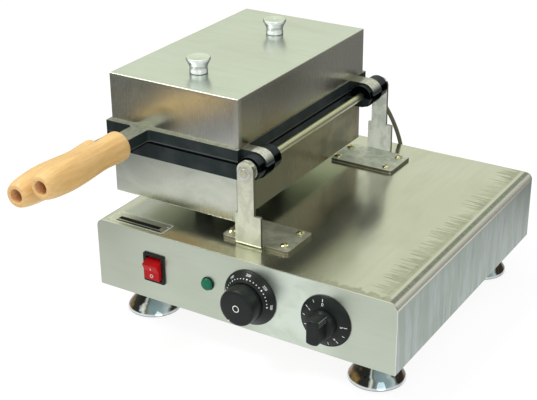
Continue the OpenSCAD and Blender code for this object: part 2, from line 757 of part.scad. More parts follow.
// a cast plate with its handle boss and the hinge pieces given as children
module cast_plate(rim_t, boss_x, boss_bore_z) difference() {
  union() {
    box(plate_x0, plate_x1, plate_y0, plate_y1, 0, rim_t);
    box(max(boss_x - boss_half_w, plate_x0 + 4), boss_x + boss_half_w,
      handle_y, plate_y0 + 1, 0, rim_t);
    box(cover_x0 + 14, lower_cover_x1 - 12, cover_y0 + 5, cover_y1 - 20,
      rim_t - 1, rim_t + raised_h);
    for (side = [-1, 1]) if (boss_x + side * 20 > plate_x0)
      boss_fillet(boss_x + side * boss_half_w, side, rim_t);
    children();
  }
  for (y = disc_y) translate([disc_x, y, 0]) baking_area();
  heater_channel(rim_t);
  knob_spots(rim_t - stud_sink) cylinder(r = stud_bore_r, h = raised_h + 6, $fn = 48);
  cyl_y(boss_x, boss_bore_z, 4.02, handle_y - 1, handle_rod_y1);
  cyl_y(rod_x, 0, rod_r + rod_gap, 0, base_d);
}

module heater(rim_t) translate([0, 0, rim_t + heater_z]) {
  for (x = heater_x) cyl_y(x, 0, heater_r, heater_y0, heater_y1);
  translate([knob_x, heater_y0, 0]) rotate([0, 0, 180])
    rotate_extrude(angle = 180) translate([heater_bend_r, 0]) circle(heater_r);
  // thin pins at the rear ends
  for (x = heater_x) cyl_y(x, 0, 1.8, heater_y1 - 0.5, heater_y1 + 12);
}

// the block filling a cover, cleared for the studs, glands and thermostat bulb
module insulation(cover_x1, rim_t, cover_h) difference() {
  inset = cover_t + 0.6;
  box(cover_x0 + inset, cover_x1 - inset, cover_y0 + inset, cover_y1 - inset,
    rim_t + raised_h + 4, rim_t + cover_h - inset);
  knob_spots(rim_t) cylinder(r = 3.6, h = cover_h, $fn = 48);
  for (x = [gland_x, jumper_x]) cyl_y(x, gland_h, 7.5, cover_y1 - 6, cover_y1);
  box(knob_x - 3.4, knob_x + 3.4, 118, 228, rim_t, rim_t + raised_h + 6.4);
}

module cover(cover_x1, rim_t, cover_h) difference() {
  box(cover_x0, cover_x1, cover_y0, cover_y1, rim_t, rim_t + cover_h);
  box(cover_x0 + cover_t, cover_x1 - cover_t, cover_y0 + cover_t, cover_y1 - cover_t,
    rim_t - 1, rim_t + cover_h - cover_t);
  knob_spots(rim_t) cylinder(r = 3.3, h = cover_h + 2, $fn = 48);
  for (x = [gland_x, jumper_x]) cyl_y(x, gland_h, 5.1, cover_y1 - 3, cover_y1 + 1);
}

module studs(rim_t, cover_h, knob_height)
  knob_spots(rim_t - stud_sink)
    cylinder(r = stud_r, h = cover_h + stud_sink + knob_height * stud_share, $fn = 48);

// a turned knob; profile points are [radius, height]
module knob(height) difference() {
  cap_r = knob_d / 2;
  rotate_extrude($fn = 96) polygon([
    [0, 0], [9.1, 0], [9.6, 0.6], [9.6, height * 0.14], [9.3, height * 0.3],
    [9.5, height * 0.42], [10.6, height * 0.6], [11.8, height * 0.74],
    [cap_r, height * 0.84], [cap_r, height * 0.94], [cap_r - 0.8, height], [0, height]
  ]);
  translate([0, 0, -1]) cylinder(r = stud_bore_r, h = 1 + height * stud_share + 0.5, $fn = 48);
}

module knobs(rim_t, cover_h, knob_height) knob_spots(rim_t + cover_h) knob(knob_height);

// [radius, distance from the boss end] of a handle, up to its free end
handle_profile = [
  [0, 0], [handle_r * 0.88, 0], [handle_r * 0.93, 1.2], [handle_r * 0.93, 9],
  [handle_r * 0.89, 18], [handle_r * 0.86, 28.5], [handle_r * 0.89, 42.5],
  [handle_r * 0.95, 56.5], [handle_r, 72.5], [handle_r, 84.5], [handle_r * 0.95, 94.5],
  [handle_r * 0.88, handle_l - 13], [handle_r * 0.79, handle_l - 5],
  [handle_r * 0.70, handle_l - 1.4], [handle_r * 0.60, handle_l], [0, handle_l]
];

module handle(x, z) translate([x, handle_y, z]) rotate([90, 0, 0]) difference() {
  rotate_extrude($fn = 96) polygon(handle_profile);
  translate([0, 0, -1]) cylinder(r = 4.1, h = handle_l + 2, $fn = 48);
  translate([0, 0, handle_l - 24]) cylinder(r = handle_hole_d / 2, h = 30, $fn = 64);
}

// the threaded rod of a handle with its round nut inside the free end
module handle_rod(x, z) {
  nut_y = handle_y - handle_l + 18;
  cyl_y(x, z, 4, nut_y + 2, handle_rod_y1);
  difference() {
    cyl_y(x, z, 6, nut_y, nut_y + 6);
    cyl_y(x, z, 2.4, nut_y - 1, nut_y + 2.5);
  }
}

// a lead gland through the rear wall of a cover
module gland(x) difference() {
  union() {
    cyl_y(x, gland_h, 5, cover_y1 - 4, cover_y1 + 1);
    cyl_y(x, gland_h, 6.5, cover_y1, cover_y1 + 6);
    cyl_y(x, gland_h, 6.5, cover_y1 - 4.5, cover_y1 - cover_t);
  }
  cyl_y(x, gland_h, lead_r + 0.1, cover_y1 - 6, cover_y1 + 7);
}

// ---------- lower mould ----------

module lower_knuckles() for (span = lower_spans) {
  cyl_y(rod_x, 0, knuckle_d / 2, span[0], span[1]);
  box(plate_x1 - 1, rod_x, max(span[0], plate_y0), min(span[1], plate_y1), 0, knuckle_d / 2);
}

module lower_plate() color(cast_black) lower_frame()
  cast_plate(lower_t, lower_handle_x, rod_z - lower_handle_z) lower_knuckles();

module lower_cover() color(cover_grey) lower_frame()
  cover(lower_cover_x1, lower_t, lower_cover_h);

module lower_heater() color(heater_brown) lower_frame() heater(lower_t);

module lower_insulation() color(insulation_white) lower_frame()
  insulation(lower_cover_x1, lower_t, lower_cover_h);

module lower_feet() color(knob_chrome) lower_frame() knobs(lower_t, lower_cover_h, low_foot_h);

module lower_studs() color(bright_metal) lower_frame() studs(lower_t, lower_cover_h, low_foot_h);

module lower_handle() color(wood) place() handle(lower_handle_x, lower_handle_z);

module lower_handle_rod() color(handle_rod_grey) place()
  handle_rod(lower_handle_x, lower_handle_z);

module lower_gland() color(deep_black) lower_frame() {
  gland(gland_x);
  gland(jumper_x);
}

// bulb with the start of its thin tube
module thermostat_bulb() color([0.72, 0.42, 0.26]) lower_frame() {
  bulb_z = lower_t + raised_h + 3;
  cyl_y(knob_x, bulb_z, 2.8, 120, 200);
  cyl_y(knob_x, bulb_z, 0.9, 199.5, 226);
}

// [distance behind the gland, z] of the loop from the lower to the upper mould
jumper_path = [
  [0, lower_gland_z], [6, lower_gland_z], [18, lower_gland_z + 4], [26, lower_gland_z + 16],
  [28, rod_z],
  [26, upper_gland_z - 15.8], [18, upper_gland_z - 3.8], [6, upper_gland_z], [0, upper_gland_z]
];

module jumper_lead() color(lead_olive) place()
  tube([for (point = jumper_path) [jumper_x, cover_y1 + 6.4 + point[0], point[1]]], lead_r);

// ---------- upper mould ----------

module upper_lugs() for (span = upper_spans) {
  cyl_y(rod_x, 0, upper_t, span[0], span[1]);
  box(plate_x1 - 1, rod_x, span[0], span[1], 0, upper_t);
}

module upper_plate() color(cast_black) upper_frame()
  cast_plate(upper_t, upper_handle_x, upper_handle_z - rod_z) upper_lugs();

module upper_cover() color(cover_grey) upper_frame()
  cover(upper_cover_x1, upper_t, upper_cover_h);

module upper_heater() color(heater_brown) upper_frame() heater(upper_t);

module upper_insulation() color(insulation_white) upper_frame()
  insulation(upper_cover_x1, upper_t, upper_cover_h);

module upper_knobs() color(knob_chrome) upper_frame() knobs(upper_t, upper_cover_h, knob_h);

module upper_studs() color(bright_metal) upper_frame() studs(upper_t, upper_cover_h, knob_h);

module upper_handle() color(wood) place() handle(upper_handle_x, upper_handle_z);

module upper_handle_rod() color(handle_rod_grey) place()
  handle_rod(upper_handle_x, upper_handle_z);

module upper_gland() color(deep_black) upper_frame() gland(jumper_x);

// ---------- nodes ----------

base_shell();
front_panel();
rear_panel();
bottom_plate();
bottom_screws();
nameplate();
stand_front();
stand_rear();
stand_screws();
stand_nuts();
hinge_rod();
hinge_nuts();
hinge_washers();
switch_housing();
switch_rocker();
pilot_lamp_lens();
pilot_lamp_body();
thermostat_dial();
thermostat_knob();
thermostat_body();
timer_dial();
timer_knob();
timer_body();
terminal_block();
inner_wiring();
power_inlet();
inlet_screws();
lead_bushing();
lower_lead();
foot_nuts();
foot_front_left();
foot_front_right();
foot_rear_left();
foot_rear_right();
pad_front_left();
pad_front_right();
pad_rear_left();
pad_rear_right();
lower_plate();
lower_cover();
lower_heater();
lower_insulation();
lower_feet();
lower_studs();
lower_handle();
lower_handle_rod();
lower_gland();
thermostat_bulb();
jumper_lead();
upper_plate();
upper_cover();
upper_heater();
upper_insulation();
upper_knobs();
upper_studs();
upper_handle();
upper_handle_rod();
upper_gland();
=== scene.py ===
# Looks for the flip-over waffle cone baker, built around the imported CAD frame.
# Local millimetres are measured from the front left top corner of the base:
# x to the right, y to the back, z up. The frame itself is in metres.
import bpy
import bmesh
import math
from contextlib import contextmanager
from mathutils import Vector, Matrix

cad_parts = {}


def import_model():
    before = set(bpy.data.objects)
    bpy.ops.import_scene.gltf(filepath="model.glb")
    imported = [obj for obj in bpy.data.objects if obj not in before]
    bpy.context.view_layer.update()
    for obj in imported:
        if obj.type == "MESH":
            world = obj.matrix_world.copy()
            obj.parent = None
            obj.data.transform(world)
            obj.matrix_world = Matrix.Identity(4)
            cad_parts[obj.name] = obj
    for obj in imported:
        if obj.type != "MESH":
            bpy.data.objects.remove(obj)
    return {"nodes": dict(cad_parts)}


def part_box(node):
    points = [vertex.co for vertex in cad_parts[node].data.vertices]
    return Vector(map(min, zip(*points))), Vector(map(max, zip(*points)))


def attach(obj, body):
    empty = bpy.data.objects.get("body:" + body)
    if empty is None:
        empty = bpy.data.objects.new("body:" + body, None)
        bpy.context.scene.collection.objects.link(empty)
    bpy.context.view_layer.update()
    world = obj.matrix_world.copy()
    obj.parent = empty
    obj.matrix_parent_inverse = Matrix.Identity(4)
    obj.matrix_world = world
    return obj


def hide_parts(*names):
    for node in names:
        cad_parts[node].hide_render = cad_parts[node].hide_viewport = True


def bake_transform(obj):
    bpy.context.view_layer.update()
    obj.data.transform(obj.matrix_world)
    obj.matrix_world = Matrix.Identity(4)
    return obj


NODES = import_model()["nodes"]


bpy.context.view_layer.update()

# ------------------------------------------------------------------ frame of reference
shell_low, shell_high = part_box("base_shell")
panel_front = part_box("front_panel")[0].y
ORIGIN = (shell_low.x * 1000, panel_front * 1000, shell_high.z * 1000)
BASE_W = (shell_high.x - shell_low.x) * 1000
BASE_H = (shell_high.z - shell_low.z) * 1000
BASE_D = (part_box("rear_panel")[1].y - panel_front) * 1000


def to_frame(x, y, z):
    """local millimetres to frame metres"""
    return Vector(((x + ORIGIN[0]) / 1000, (y + ORIGIN[1]) / 1000, (z + ORIGIN[2]) / 1000))


class Box:
    """the space a CAD node takes up, in local millimetres; radius is half its x size"""

    def __init__(self, node):
        low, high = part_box(node)
        self.low = tuple(c * 1000 - o for c, o in zip(low, ORIGIN))
        self.high = tuple(c * 1000 - o for c, o in zip(high, ORIGIN))
        self.mid = tuple((a + b) / 2 for a, b in zip(self.low, self.high))
        self.radius = (self.high[0] - self.low[0]) / 2


# the rod both moulds turn on; its height is also that of the parting plane
ROD_X, _, ROD_Z = Box("hinge_rod").mid
# reach of each cast plate from the parting plane
UPPER_T = Box("upper_cover").low[2] - ROD_Z
LOWER_T = ROD_Z - Box("lower_cover").high[2]
KNOB = Box("upper_knobs")
KNOB_Z = KNOB.low[2]
KNOB_L = KNOB.high[2] - KNOB_Z

# ------------------------------------------------------------------ shader graphs


class Wire:
    """a node output; each operation on it makes a node"""

    def __init__(self, graph, socket):
        self.graph = graph
        self.socket = socket

    def __add__(self, other):
        return self.graph.math("ADD", self, other)

    def __radd__(self, other):
        return self.graph.math("ADD", other, self)

    def __sub__(self, other):
        return self.graph.math("SUBTRACT", self, other)

    def __rsub__(self, other):
        return self.graph.math("SUBTRACT", other, self)

    def __mul__(self, other):
        return self.graph.math("MULTIPLY", self, other)

    def __truediv__(self, other):
        return self.graph.math("DIVIDE", self, other)

    def __abs__(self):
        return self.graph.math("ABSOLUTE", self)

    def root(self):
        return self.graph.math("SQRT", self)

    def larger(self, other):
        return self.graph.math("MAXIMUM", self, other)

    def fade(self, start, end, low=0.0, high=1.0, smooth=True):
        """goes from low to high as the value goes from start to end"""
        inputs = {"Value": self, "From Min": start, "From Max": end, "To Min": low, "To Max": high}
        kind = "SMOOTHSTEP" if smooth else "LINEAR"
        return self.graph.wire("Result", "ShaderNodeMapRange", inputs, interpolation_type=kind)


class Graph:
    """a node tree, with a short call for each kind of node used here"""

    def __init__(self, tree):
        self.tree = tree
        self.position = None

    def feed(self, socket, value):
        if isinstance(value, Wire):
            self.tree.links.new(value.socket, socket)
        elif socket.type == "RGBA":
            colour = value if isinstance(value, tuple) else (value,) * 3
            socket.default_value = (*colour, 1)
        else:
            socket.default_value = value

    def add(self, kind, inputs=None, **props):
        node = self.tree.nodes.new(kind)
        for key, value in props.items():
            setattr(node, key, value)
        for key, value in (inputs or {}).items():
            self.feed(node.inputs[key], value)
        return node

    def wire(self, output, kind, inputs=None, **props):
        return Wire(self, self.add(kind, inputs, **props).outputs[output])

    def math(self, operation, a, b=0.0):
        return self.wire(0, "ShaderNodeMath", {0: a, 1: b}, operation=operation)

    def mix(self, amount, a, b):
        inputs = {"Factor": amount, 6: a, 7: b}
        return self.wire(2, "ShaderNodeMix", inputs, data_type="RGBA", blend_type="MIX")

    def mix_shader(self, amount, a, b):
        return self.wire(0, "ShaderNodeMixShader", {0: amount, 1: a, 2: b})

    def light(self, kind, colour, strength):
        """an Emission or Background shader"""
        return self.wire(0, "ShaderNode" + kind, {"Color": colour, "Strength": strength})

    def stretch(self, vector, scale, offset=(0, 0, 0)):
        inputs = {"Vector": vector, "Scale": scale, "Location": offset}
        return self.wire("Vector", "ShaderNodeMapping", inputs)

    def co(self):
        """position in local millimetres"""
        if self.position is None:
            place = self.wire("Object", "ShaderNodeTexCoord")
            offset = tuple(-o for o in ORIGIN)
            self.position = self.stretch(place, scale=(1000, 1000, 1000), offset=offset)
        return self.position

    def xyz(self, vector=None):
        node = self.add("ShaderNodeSeparateXYZ", {0: vector or self.co()})
        return [Wire(self, out) for out in node.outputs]

    def noise(self, scale, detail=3.0, rough=0.5, dist=0.0, offset=(0, 0, 0), vector=None):
        """scale is one number, or one for each axis of the local position"""
        if isinstance(scale, tuple):
            vector = self.stretch(self.co(), scale, offset)
            scale = 1.0
        inputs = {"Vector": vector or self.co(), "Scale": scale, "Detail": detail,
                  "Roughness": rough, "Distortion": dist}
        return self.wire("Fac", "ShaderNodeTexNoise", inputs)

    def ramp(self, value, stops):
        node = self.add("ShaderNodeValToRGB", {0: value})
        elements = node.color_ramp.elements
        while len(elements) < len(stops):
            elements.new(0.5)
        for element, (position, colour) in zip(elements, stops):
            element.position = position
            element.color = (*colour, 1)
        return Wire(self, node.outputs["Color"])

    def bump(self, height, strength, distance, normal=None):
        inputs = {"Height": height, "Strength": strength, "Distance": distance}
        if normal is not None:
            inputs["Normal"] = normal
        return self.wire("Normal", "ShaderNodeBump", inputs)

    def transform(self, vector, kind, source, target):
        return self.wire(0, "ShaderNodeVectorTransform", {0: vector},
                         vector_type=kind, convert_from=source, convert_to=target)

    def tangent(self, direction):
        """a fixed brushing direction that turns with the object"""
        vector = self.wire(0, "ShaderNodeCombineXYZ", dict(enumerate(direction)))
        return self.transform(vector, "VECTOR", "OBJECT", "WORLD")

    def normal(self, space="OBJECT"):
        """x, y, z of the surface normal"""
        normal = self.wire("Normal", "ShaderNodeNewGeometry")
        return self.xyz(self.transform(normal, "NORMAL", "WORLD", space))


MATERIALS = {}


class Material(Graph):
    def __init__(self, name):
        material = bpy.data.materials.new(name)
        material.use_nodes = True
        super().__init__(material.node_tree)
        self.shader = self.tree.nodes["Principled BSDF"]
        MATERIALS[name] = material

    def set(self, **values):
        for key, value in values.items():
            self.feed(self.shader.inputs[key.replace("_", " ")], value)

    def paint(self, amount, colour):
        """lays a colour over the colour so far"""
        self.colour = self.mix(amount, self.colour, colour)


def srgb(*channels):
    """8-bit sRGB to linear"""
    scaled = [c / 255 for c in channels]
    return tuple(c / 12.92 if c <= 0.04045 else ((c + 0.055) / 1.055) ** 2.4 for c in scaled)


def shade(colour, factor):
    factors = factor if isinstance(factor, tuple) else (factor,) * 3
    return tuple(c * f for c, f in zip(colour, factors))


# ------------------------------------------------------------------ brushed sheet
AXES = {"x": (1, 0, 0), "y": (0, 1, 0), "z": (0, 0, 1)}


class Sheet(Material):
    """brushed sheet; brush is the stroke direction, wave the strength of its slow ripple"""

    def __init__(self, name, brush, rough, aniso, wave, tangent=None):
        super().__init__(name)

        def strokes(along, across, **settings):
            scale = tuple(along if on else across for on in AXES[brush])
            return self.noise(scale, **settings)

        self.hair = strokes(0.020, 2.4, detail=3, rough=0.6)
        self.streak = strokes(0.010, 0.16, detail=4, rough=0.6)
        self.smear = strokes(0.012, 0.03, detail=3, rough=0.5, dist=0.2, offset=(7, 3, 5))
        self.rough = rough + (self.hair - 0.5) * 0.10 + self.smear.fade(0.4, 0.75) * 0.05
        fine = self.bump(self.hair + self.streak * 2.0, strength=0.10, distance=0.00003)
        ripple = self.noise(0.011, detail=1, rough=0.4)
        self.set(Metallic=1.0, Roughness=self.rough, Anisotropic=aniso,
                 Tangent=self.tangent(tangent or AXES[brush]),
                 Normal=self.bump(ripple, strength=wave, distance=0.0010, normal=fine))

    def steel_colour(self, tint, dirt):
        """clouds, streaks and smears over the tint; dirt is the strength of the smears"""
        cloud = self.noise(0.008, detail=2, rough=0.5)
        self.colour = self.mix(cloud.fade(0.3, 0.7), tint, shade(tint, (0.94, 0.93, 0.91)))
        self.paint(self.streak.fade(0.40, 0.72, high=0.30), shade(tint, 0.86))
        self.paint(self.hair.fade(0.45, 0.75, high=0.14), shade(tint, 0.7))
        self.paint(self.smear.fade(0.50, 0.72) * dirt, shade(tint, (0.78, 0.76, 0.68)))
        self.set(Base_Color=self.colour)


def base_top_steel():
    """hand-ground strips along the right and front edges of the top, and painted reflections on the
    right bend
    """
    m = Sheet("base_top_steel", "y", rough=0.19, aniso=0.3, wave=0.18)
    m.steel_colour(tint=(0.705, 0.715, 0.62), dirt=0.30)
    x, y, z = m.xyz()
    # strokes run across the strip, each of its own length
    stroke = m.noise((0.004, 0.30, 0.0), detail=2, rough=0.6)
    reach = stroke.fade(0.3, 0.7, low=BASE_W - 40, high=BASE_W - 14)
    inner = (x - reach).fade(0, 2.5)
    outer = x.fade(BASE_W - 13, BASE_W - 12.2, low=1, high=0)
    top = z.fade(-0.6, -0.3)
    fine = m.noise((0.10, 1.3, 0.0), detail=4, rough=0.7)
    uneven = m.noise((0, 0.02, 0), detail=2).fade(0.35, 0.6, low=0.45)
    strip = (inner * outer) * (top * uneven)
    # the same along the front edge, towards the right
    stroke = m.noise((0.12, 0.004, 0.0), detail=2, rough=0.6, offset=(40, 0, 0))
    front = (stroke.fade(0.3, 0.7, low=4, high=15) - y).fade(0, 2)
    front = front * x.fade(190, 320)
    strip = strip.larger(front * top * 0.9)
    strip = strip * fine.fade(0.3, 0.65, low=0.35)
    m.paint(strip * 0.85, (0.30, 0.30, 0.21))
    # a scribed line beside the bend
    line = abs(x - (BASE_W - 16.5)).fade(0.15, 0.6, low=1, high=0)
    line = line * (top * fine.fade(0.4, 0.6))
    m.paint(line * 0.5, (0.20, 0.17, 0.10))
    # painted reflections on the bend: a dark grey band at its inner side, a pale painted highlight
    # across it and a brown line at its outer side
    bend_dark_reflection = x.fade(BASE_W - 9.6, BASE_W - 8.2) * x.fade(BASE_W - 4.6, BASE_W - 5.6)
    m.paint(bend_dark_reflection * fine.fade(0.3, 0.6, low=0.55, high=0.95), (0.16, 0.175, 0.17))
    bend_highlight = x.fade(BASE_W - 4.6, BASE_W - 3.4) * z.fade(-9, -4)
    m.paint(bend_highlight * 0.9, (0.60, 0.60, 0.51))
    bend_brown_reflection = x.fade(BASE_W - 1.3, BASE_W - 0.7) * z.fade(-7, -3)
    m.paint(bend_brown_reflection * 0.55, (0.30, 0.22, 0.15))
    m.set(Base_Color=m.colour, Metallic=m.mix(bend_highlight, 1.0, 0.35), Roughness=m.rough + strip * 0.22)


def panel_steel():
    """a paler patch right of the thermostat, a painted reflection, and darker towards the left end"""
    patch_x, patch_half = 238, 62
    m = Sheet("panel_steel", "x", rough=0.33, aniso=0.3, wave=0.20)
    m.steel_colour(tint=(0.585, 0.645, 0.545), dirt=0.12)
    x = m.xyz()[0]
    cloud = m.noise((0.035, 0.035, 0.05), detail=3, rough=0.55, dist=0.5)
    # painted reflection: a paler cloudy patch right of the thermostat
    reflection_patch = abs((x - patch_x) / patch_half).fade(1.0, 0.2) * cloud.fade(0.32, 0.58, low=0.45)
    m.paint(reflection_patch * 0.75, (0.80, 0.90, 0.80))
    m.paint(x.fade(95, 20, high=0.30), (0.40, 0.43, 0.35))
    m.set(Base_Color=m.colour)


def lighten_edges(m):
    """ground edges lightened, partly bare metal and partly a painted highlight, where the mesh's edge
    attribute says
    """
    edge = m.wire("Fac", "ShaderNodeAttribute", attribute_name="edge")
    amount = edge * m.noise(0.8, detail=3).fade(0.3, 0.6, low=0.55)
    m.paint(amount, (0.74, 0.75, 0.66))
    m.set(Base_Color=m.colour, Roughness=m.rough + amount * 0.25)


def cover_steel_sides():
    """brown heat tint near the plate towards the right, painted shade and light on the sheets, and
    ground edges lightened with a painted highlight
    """
    # reflections on the upright sheets smear sideways, across the strokes
    m = Sheet("cover_steel_sides", "z", rough=0.25, aniso=0.8, wave=0.25, tangent=(1, 1, 0))
    # painted shade: the side sheets take a darker tint than the top
    m.steel_colour(tint=(0.43, 0.42, 0.33), dirt=0.35)
    x, y, z = m.xyz()
    heat = abs(z - ROD_Z).fade(62, 16) * x.fade(60, 150)
    cloud = m.noise((0.02, 0.02, 0.03), detail=4, rough=0.6, dist=0.6)
    m.paint(heat * cloud.fade(0.38, 0.62) * 0.55, (0.42, 0.34, 0.22))
    # side sheets: painted shade below the parting plane, browner in cloudy patches towards the back;
    # above it painted light, paler towards the back
    low = z.fade(ROD_Z + 2, ROD_Z - 2)
    back = y.fade(95, 235)
    m.paint((1.0 - low) * back, (0.78, 0.78, 0.66))
    lower_shade_patches = m.mix(back * cloud.fade(0.40, 0.60), (0.25, 0.235, 0.19), (0.40, 0.345, 0.25))
    m.paint(low * 0.9, lower_shade_patches)
    # front and rear sheets: a paler copy of the steel, painted light, brightest near the lower right
    # corner of the upper cover, a painted highlight
    front = abs(m.normal()[1]).fade(0.6, 0.8)
    lit_front_colour = m.mix(cloud.fade(0.35, 0.65), (0.69, 0.725, 0.63), (0.60, 0.63, 0.54))
    corner = x.fade(60, 185) * z.fade(ROD_Z + 75, ROD_Z + 25)
    lit_front_colour = m.mix(corner * (1.0 - low), lit_front_colour, (1.0, 1.0, 0.96))
    m.paint(front, lit_front_colour)
    lighten_edges(m)


def cover_steel_top():
    m = Sheet("cover_steel_top", "x", rough=0.22, aniso=0.3, wave=0.18)
    # painted light: a paler tint than the side sheets
    m.steel_colour(tint=(0.75, 0.80, 0.74), dirt=0.25)
    lighten_edges(m)


def stand_steel():
    """painted shade on the plates, darker than the arms; painted light on the rear arm, paler, and on
    the rear plate; both with cloudy stains
    """
    m = Sheet("stand_steel", "z", rough=0.40, aniso=0.2, wave=0.12)
    y = m.xyz()[1]
    _, normal_y, normal_z = m.normal()
    flat = normal_z.fade(0.7, 0.9)
    rear = y.fade(150, 151)
    stain = m.noise((0.09, 0.09, 0.06), detail=5, rough=0.65, dist=0.4)
    m.colour = m.mix(stain.fade(0.40, 0.62), (0.72, 0.745, 0.60), (0.60, 0.61, 0.49))
    pale = m.mix(stain.fade(0.40, 0.60), (0.95, 0.98, 0.90), (0.72, 0.76, 0.70))
    # painted light: the rear arm paler than the front arm
    m.paint(rear * (1.0 - flat), pale)
    shaded_plate = m.mix(stain.fade(0.38, 0.60), (0.46, 0.475, 0.37), (0.33, 0.335, 0.25))
    lit_rear_plate = m.mix(stain.fade(0.40, 0.60), (0.70, 0.74, 0.64), (0.52, 0.55, 0.46))
    # painted shade: the plates darker than the arms, the rear plate less so
    m.paint(flat, m.mix(rear, shaded_plate, lit_rear_plate))
    # painted light: the front of the rear arm also glows faintly
    glowing_rear_arm = rear * (1.0 - flat) * normal_y.fade(-0.5, -0.8)
    m.set(Base_Color=m.colour, Metallic=m.mix(rear * (1.0 - flat), 0.55, 0.12),
          Emission_Color=(0.9, 1.0, 0.86),
          Emission_Strength=glowing_rear_arm * stain.fade(0.40, 0.60, low=0.15, high=0.09))


def side_steel():
    """the side of the base sheet, a darker bluish copy of the top's steel, painted shade and
    reflection, with long pale runs down it of uneven length
    """
    m = Sheet("side_steel", "z", rough=0.34, aniso=0.5, wave=0.30)
    m.steel_colour(tint=(0.375, 0.44, 0.39), dirt=0.15)
    z = m.xyz()[2]
    run = m.noise((0.0, 0.085, 0.012), detail=4, rough=0.62, dist=0.35)
    dark_run = m.noise((0.0, 0.20, 0.02), detail=3, rough=0.6, dist=0.2, offset=(0, 9, 3))
    pale = run.fade(0.46, 0.58) * z.fade(-6, -22, low=0.25)
    m.paint(pale * 0.75, (0.56, 0.62, 0.61))
    m.paint(dark_run.fade(0.52, 0.70, high=0.5), (0.30, 0.34, 0.31))
    m.set(Base_Color=m.colour, Roughness=m.rough + pale * 0.10)


# ------------------------------------------------------------------ metal and castings


def metal(name, colour, rough, scale=0.6, variation=0.10, bump=0.15):
    m = Material(name)
    fine = m.noise(scale, detail=4, rough=0.6)
    broad = m.noise(scale * 0.13, detail=3)
    m.colour = m.mix(fine.fade(0.3, 0.7), colour, shade(colour, 1 - variation * 2))
    m.paint(broad.fade(0.45, 0.75, high=0.5), shade(colour, 0.8))
    m.set(Base_Color=m.colour, Metallic=1.0,
          Roughness=fine.fade(0.2, 0.8, low=rough * 0.75, high=rough * 1.3, smooth=False),
          Normal=m.bump(fine, strength=bump, distance=0.00008))


def polished_chrome():
    """mirror plating with a painted reflection: dark, blue and white bands of a room wrap each bell,
    by its normal seen from the camera, with a painted highlight on the lip
    """
    m = Material("polished_chrome")
    across = m.normal("CAMERA")[0]
    wobble = m.noise((0.030, 0.030, 0.075), detail=3, rough=0.55, dist=0.4, offset=(2, 5, 1))
    # painted reflection bands, from the left of each bell to the right, as seen
    bands = [
        (0.02, (0.52, 0.48, 0.36)), (0.07, (0.14, 0.075, 0.02)), (0.13, (0.30, 0.19, 0.06)),
        (0.18, (0.015, 0.012, 0.008)), (0.31, (0.010, 0.014, 0.014)),
        (0.35, (0.90, 0.96, 0.97)), (0.39, (0.17, 0.16, 0.10)), (0.44, (0.26, 0.37, 0.41)),
        (0.64, (0.36, 0.49, 0.53)), (0.73, (0.66, 0.78, 0.80)), (0.78, (0.02, 0.022, 0.02)),
        (0.90, (0.08, 0.045, 0.02)), (0.98, (0.60, 0.63, 0.60)),
    ]
    m.colour = m.ramp(across * 0.5 + 0.5 + (wobble - 0.5) * 0.34, bands)
    height = m.xyz()[2] - Box("foot_front_left").low[2]
    # painted highlight: a pale band on the lip
    m.paint(height.fade(3.2, 2.2), (0.88, 0.94, 0.97))
    # painted shade: a dark line along the bottom edge
    m.paint(height.fade(1.2, 0.7), (0.20, 0.25, 0.31))
    m.set(Base_Color=m.colour, Metallic=0.45,
          Roughness=wobble.fade(0.3, 0.7, low=0.06, high=0.10))


def turned_aluminium():
    """fine rings about the knob's axis; a painted reflection, bright middle and dark flanks by how
    the side faces the view; painted shade at the foot and round the waist; matt end face
    """
    m = Material("turned_aluminium")
    rings = m.noise((0.02, 0.02, 3.2), detail=3, rough=0.6)
    face = m.noise((1.2, 1.2, 0.1), detail=2, rough=0.6)
    # painted reflection: bright where the side faces the view, dark at the flanks
    facing = m.wire("Facing", "ShaderNodeLayerWeight", {"Blend": 0.5})
    m.colour = m.ramp(facing, [(0.0, (0.98, 1.0, 1.0)), (0.34, (0.92, 0.96, 0.97)),
                               (0.50, (0.36, 0.40, 0.41)), (0.70, (0.07, 0.085, 0.085))])
    z = m.xyz()[2]
    # painted shade: a dark line at the foot of the knob
    foot_shade = (z - KNOB_Z).fade(0.25, 0.8)
    # painted shade: a darker band round the waist
    waist_shade = abs((z - KNOB_Z) - KNOB_L * 0.44)
    m.paint(waist_shade.fade(1.0, 1.7, low=0.55, high=0.0), (0.30, 0.33, 0.35))
    m.colour = m.mix(foot_shade, (0.02, 0.024, 0.022), m.colour)
    m.paint(rings.fade(0.42, 0.62, high=0.35), (0.50, 0.54, 0.56))
    end = abs(m.normal()[2]).fade(0.85, 0.97)
    m.paint(end, m.mix(face.fade(0.3, 0.7), (0.74, 0.80, 0.70), (0.66, 0.72, 0.62)))
    m.set(Base_Color=m.colour, Metallic=m.mix(end, 0.25, 0.85), Roughness=m.mix(end, 0.34, 0.42),
          Normal=m.bump(rings, strength=0.20, distance=0.00006))


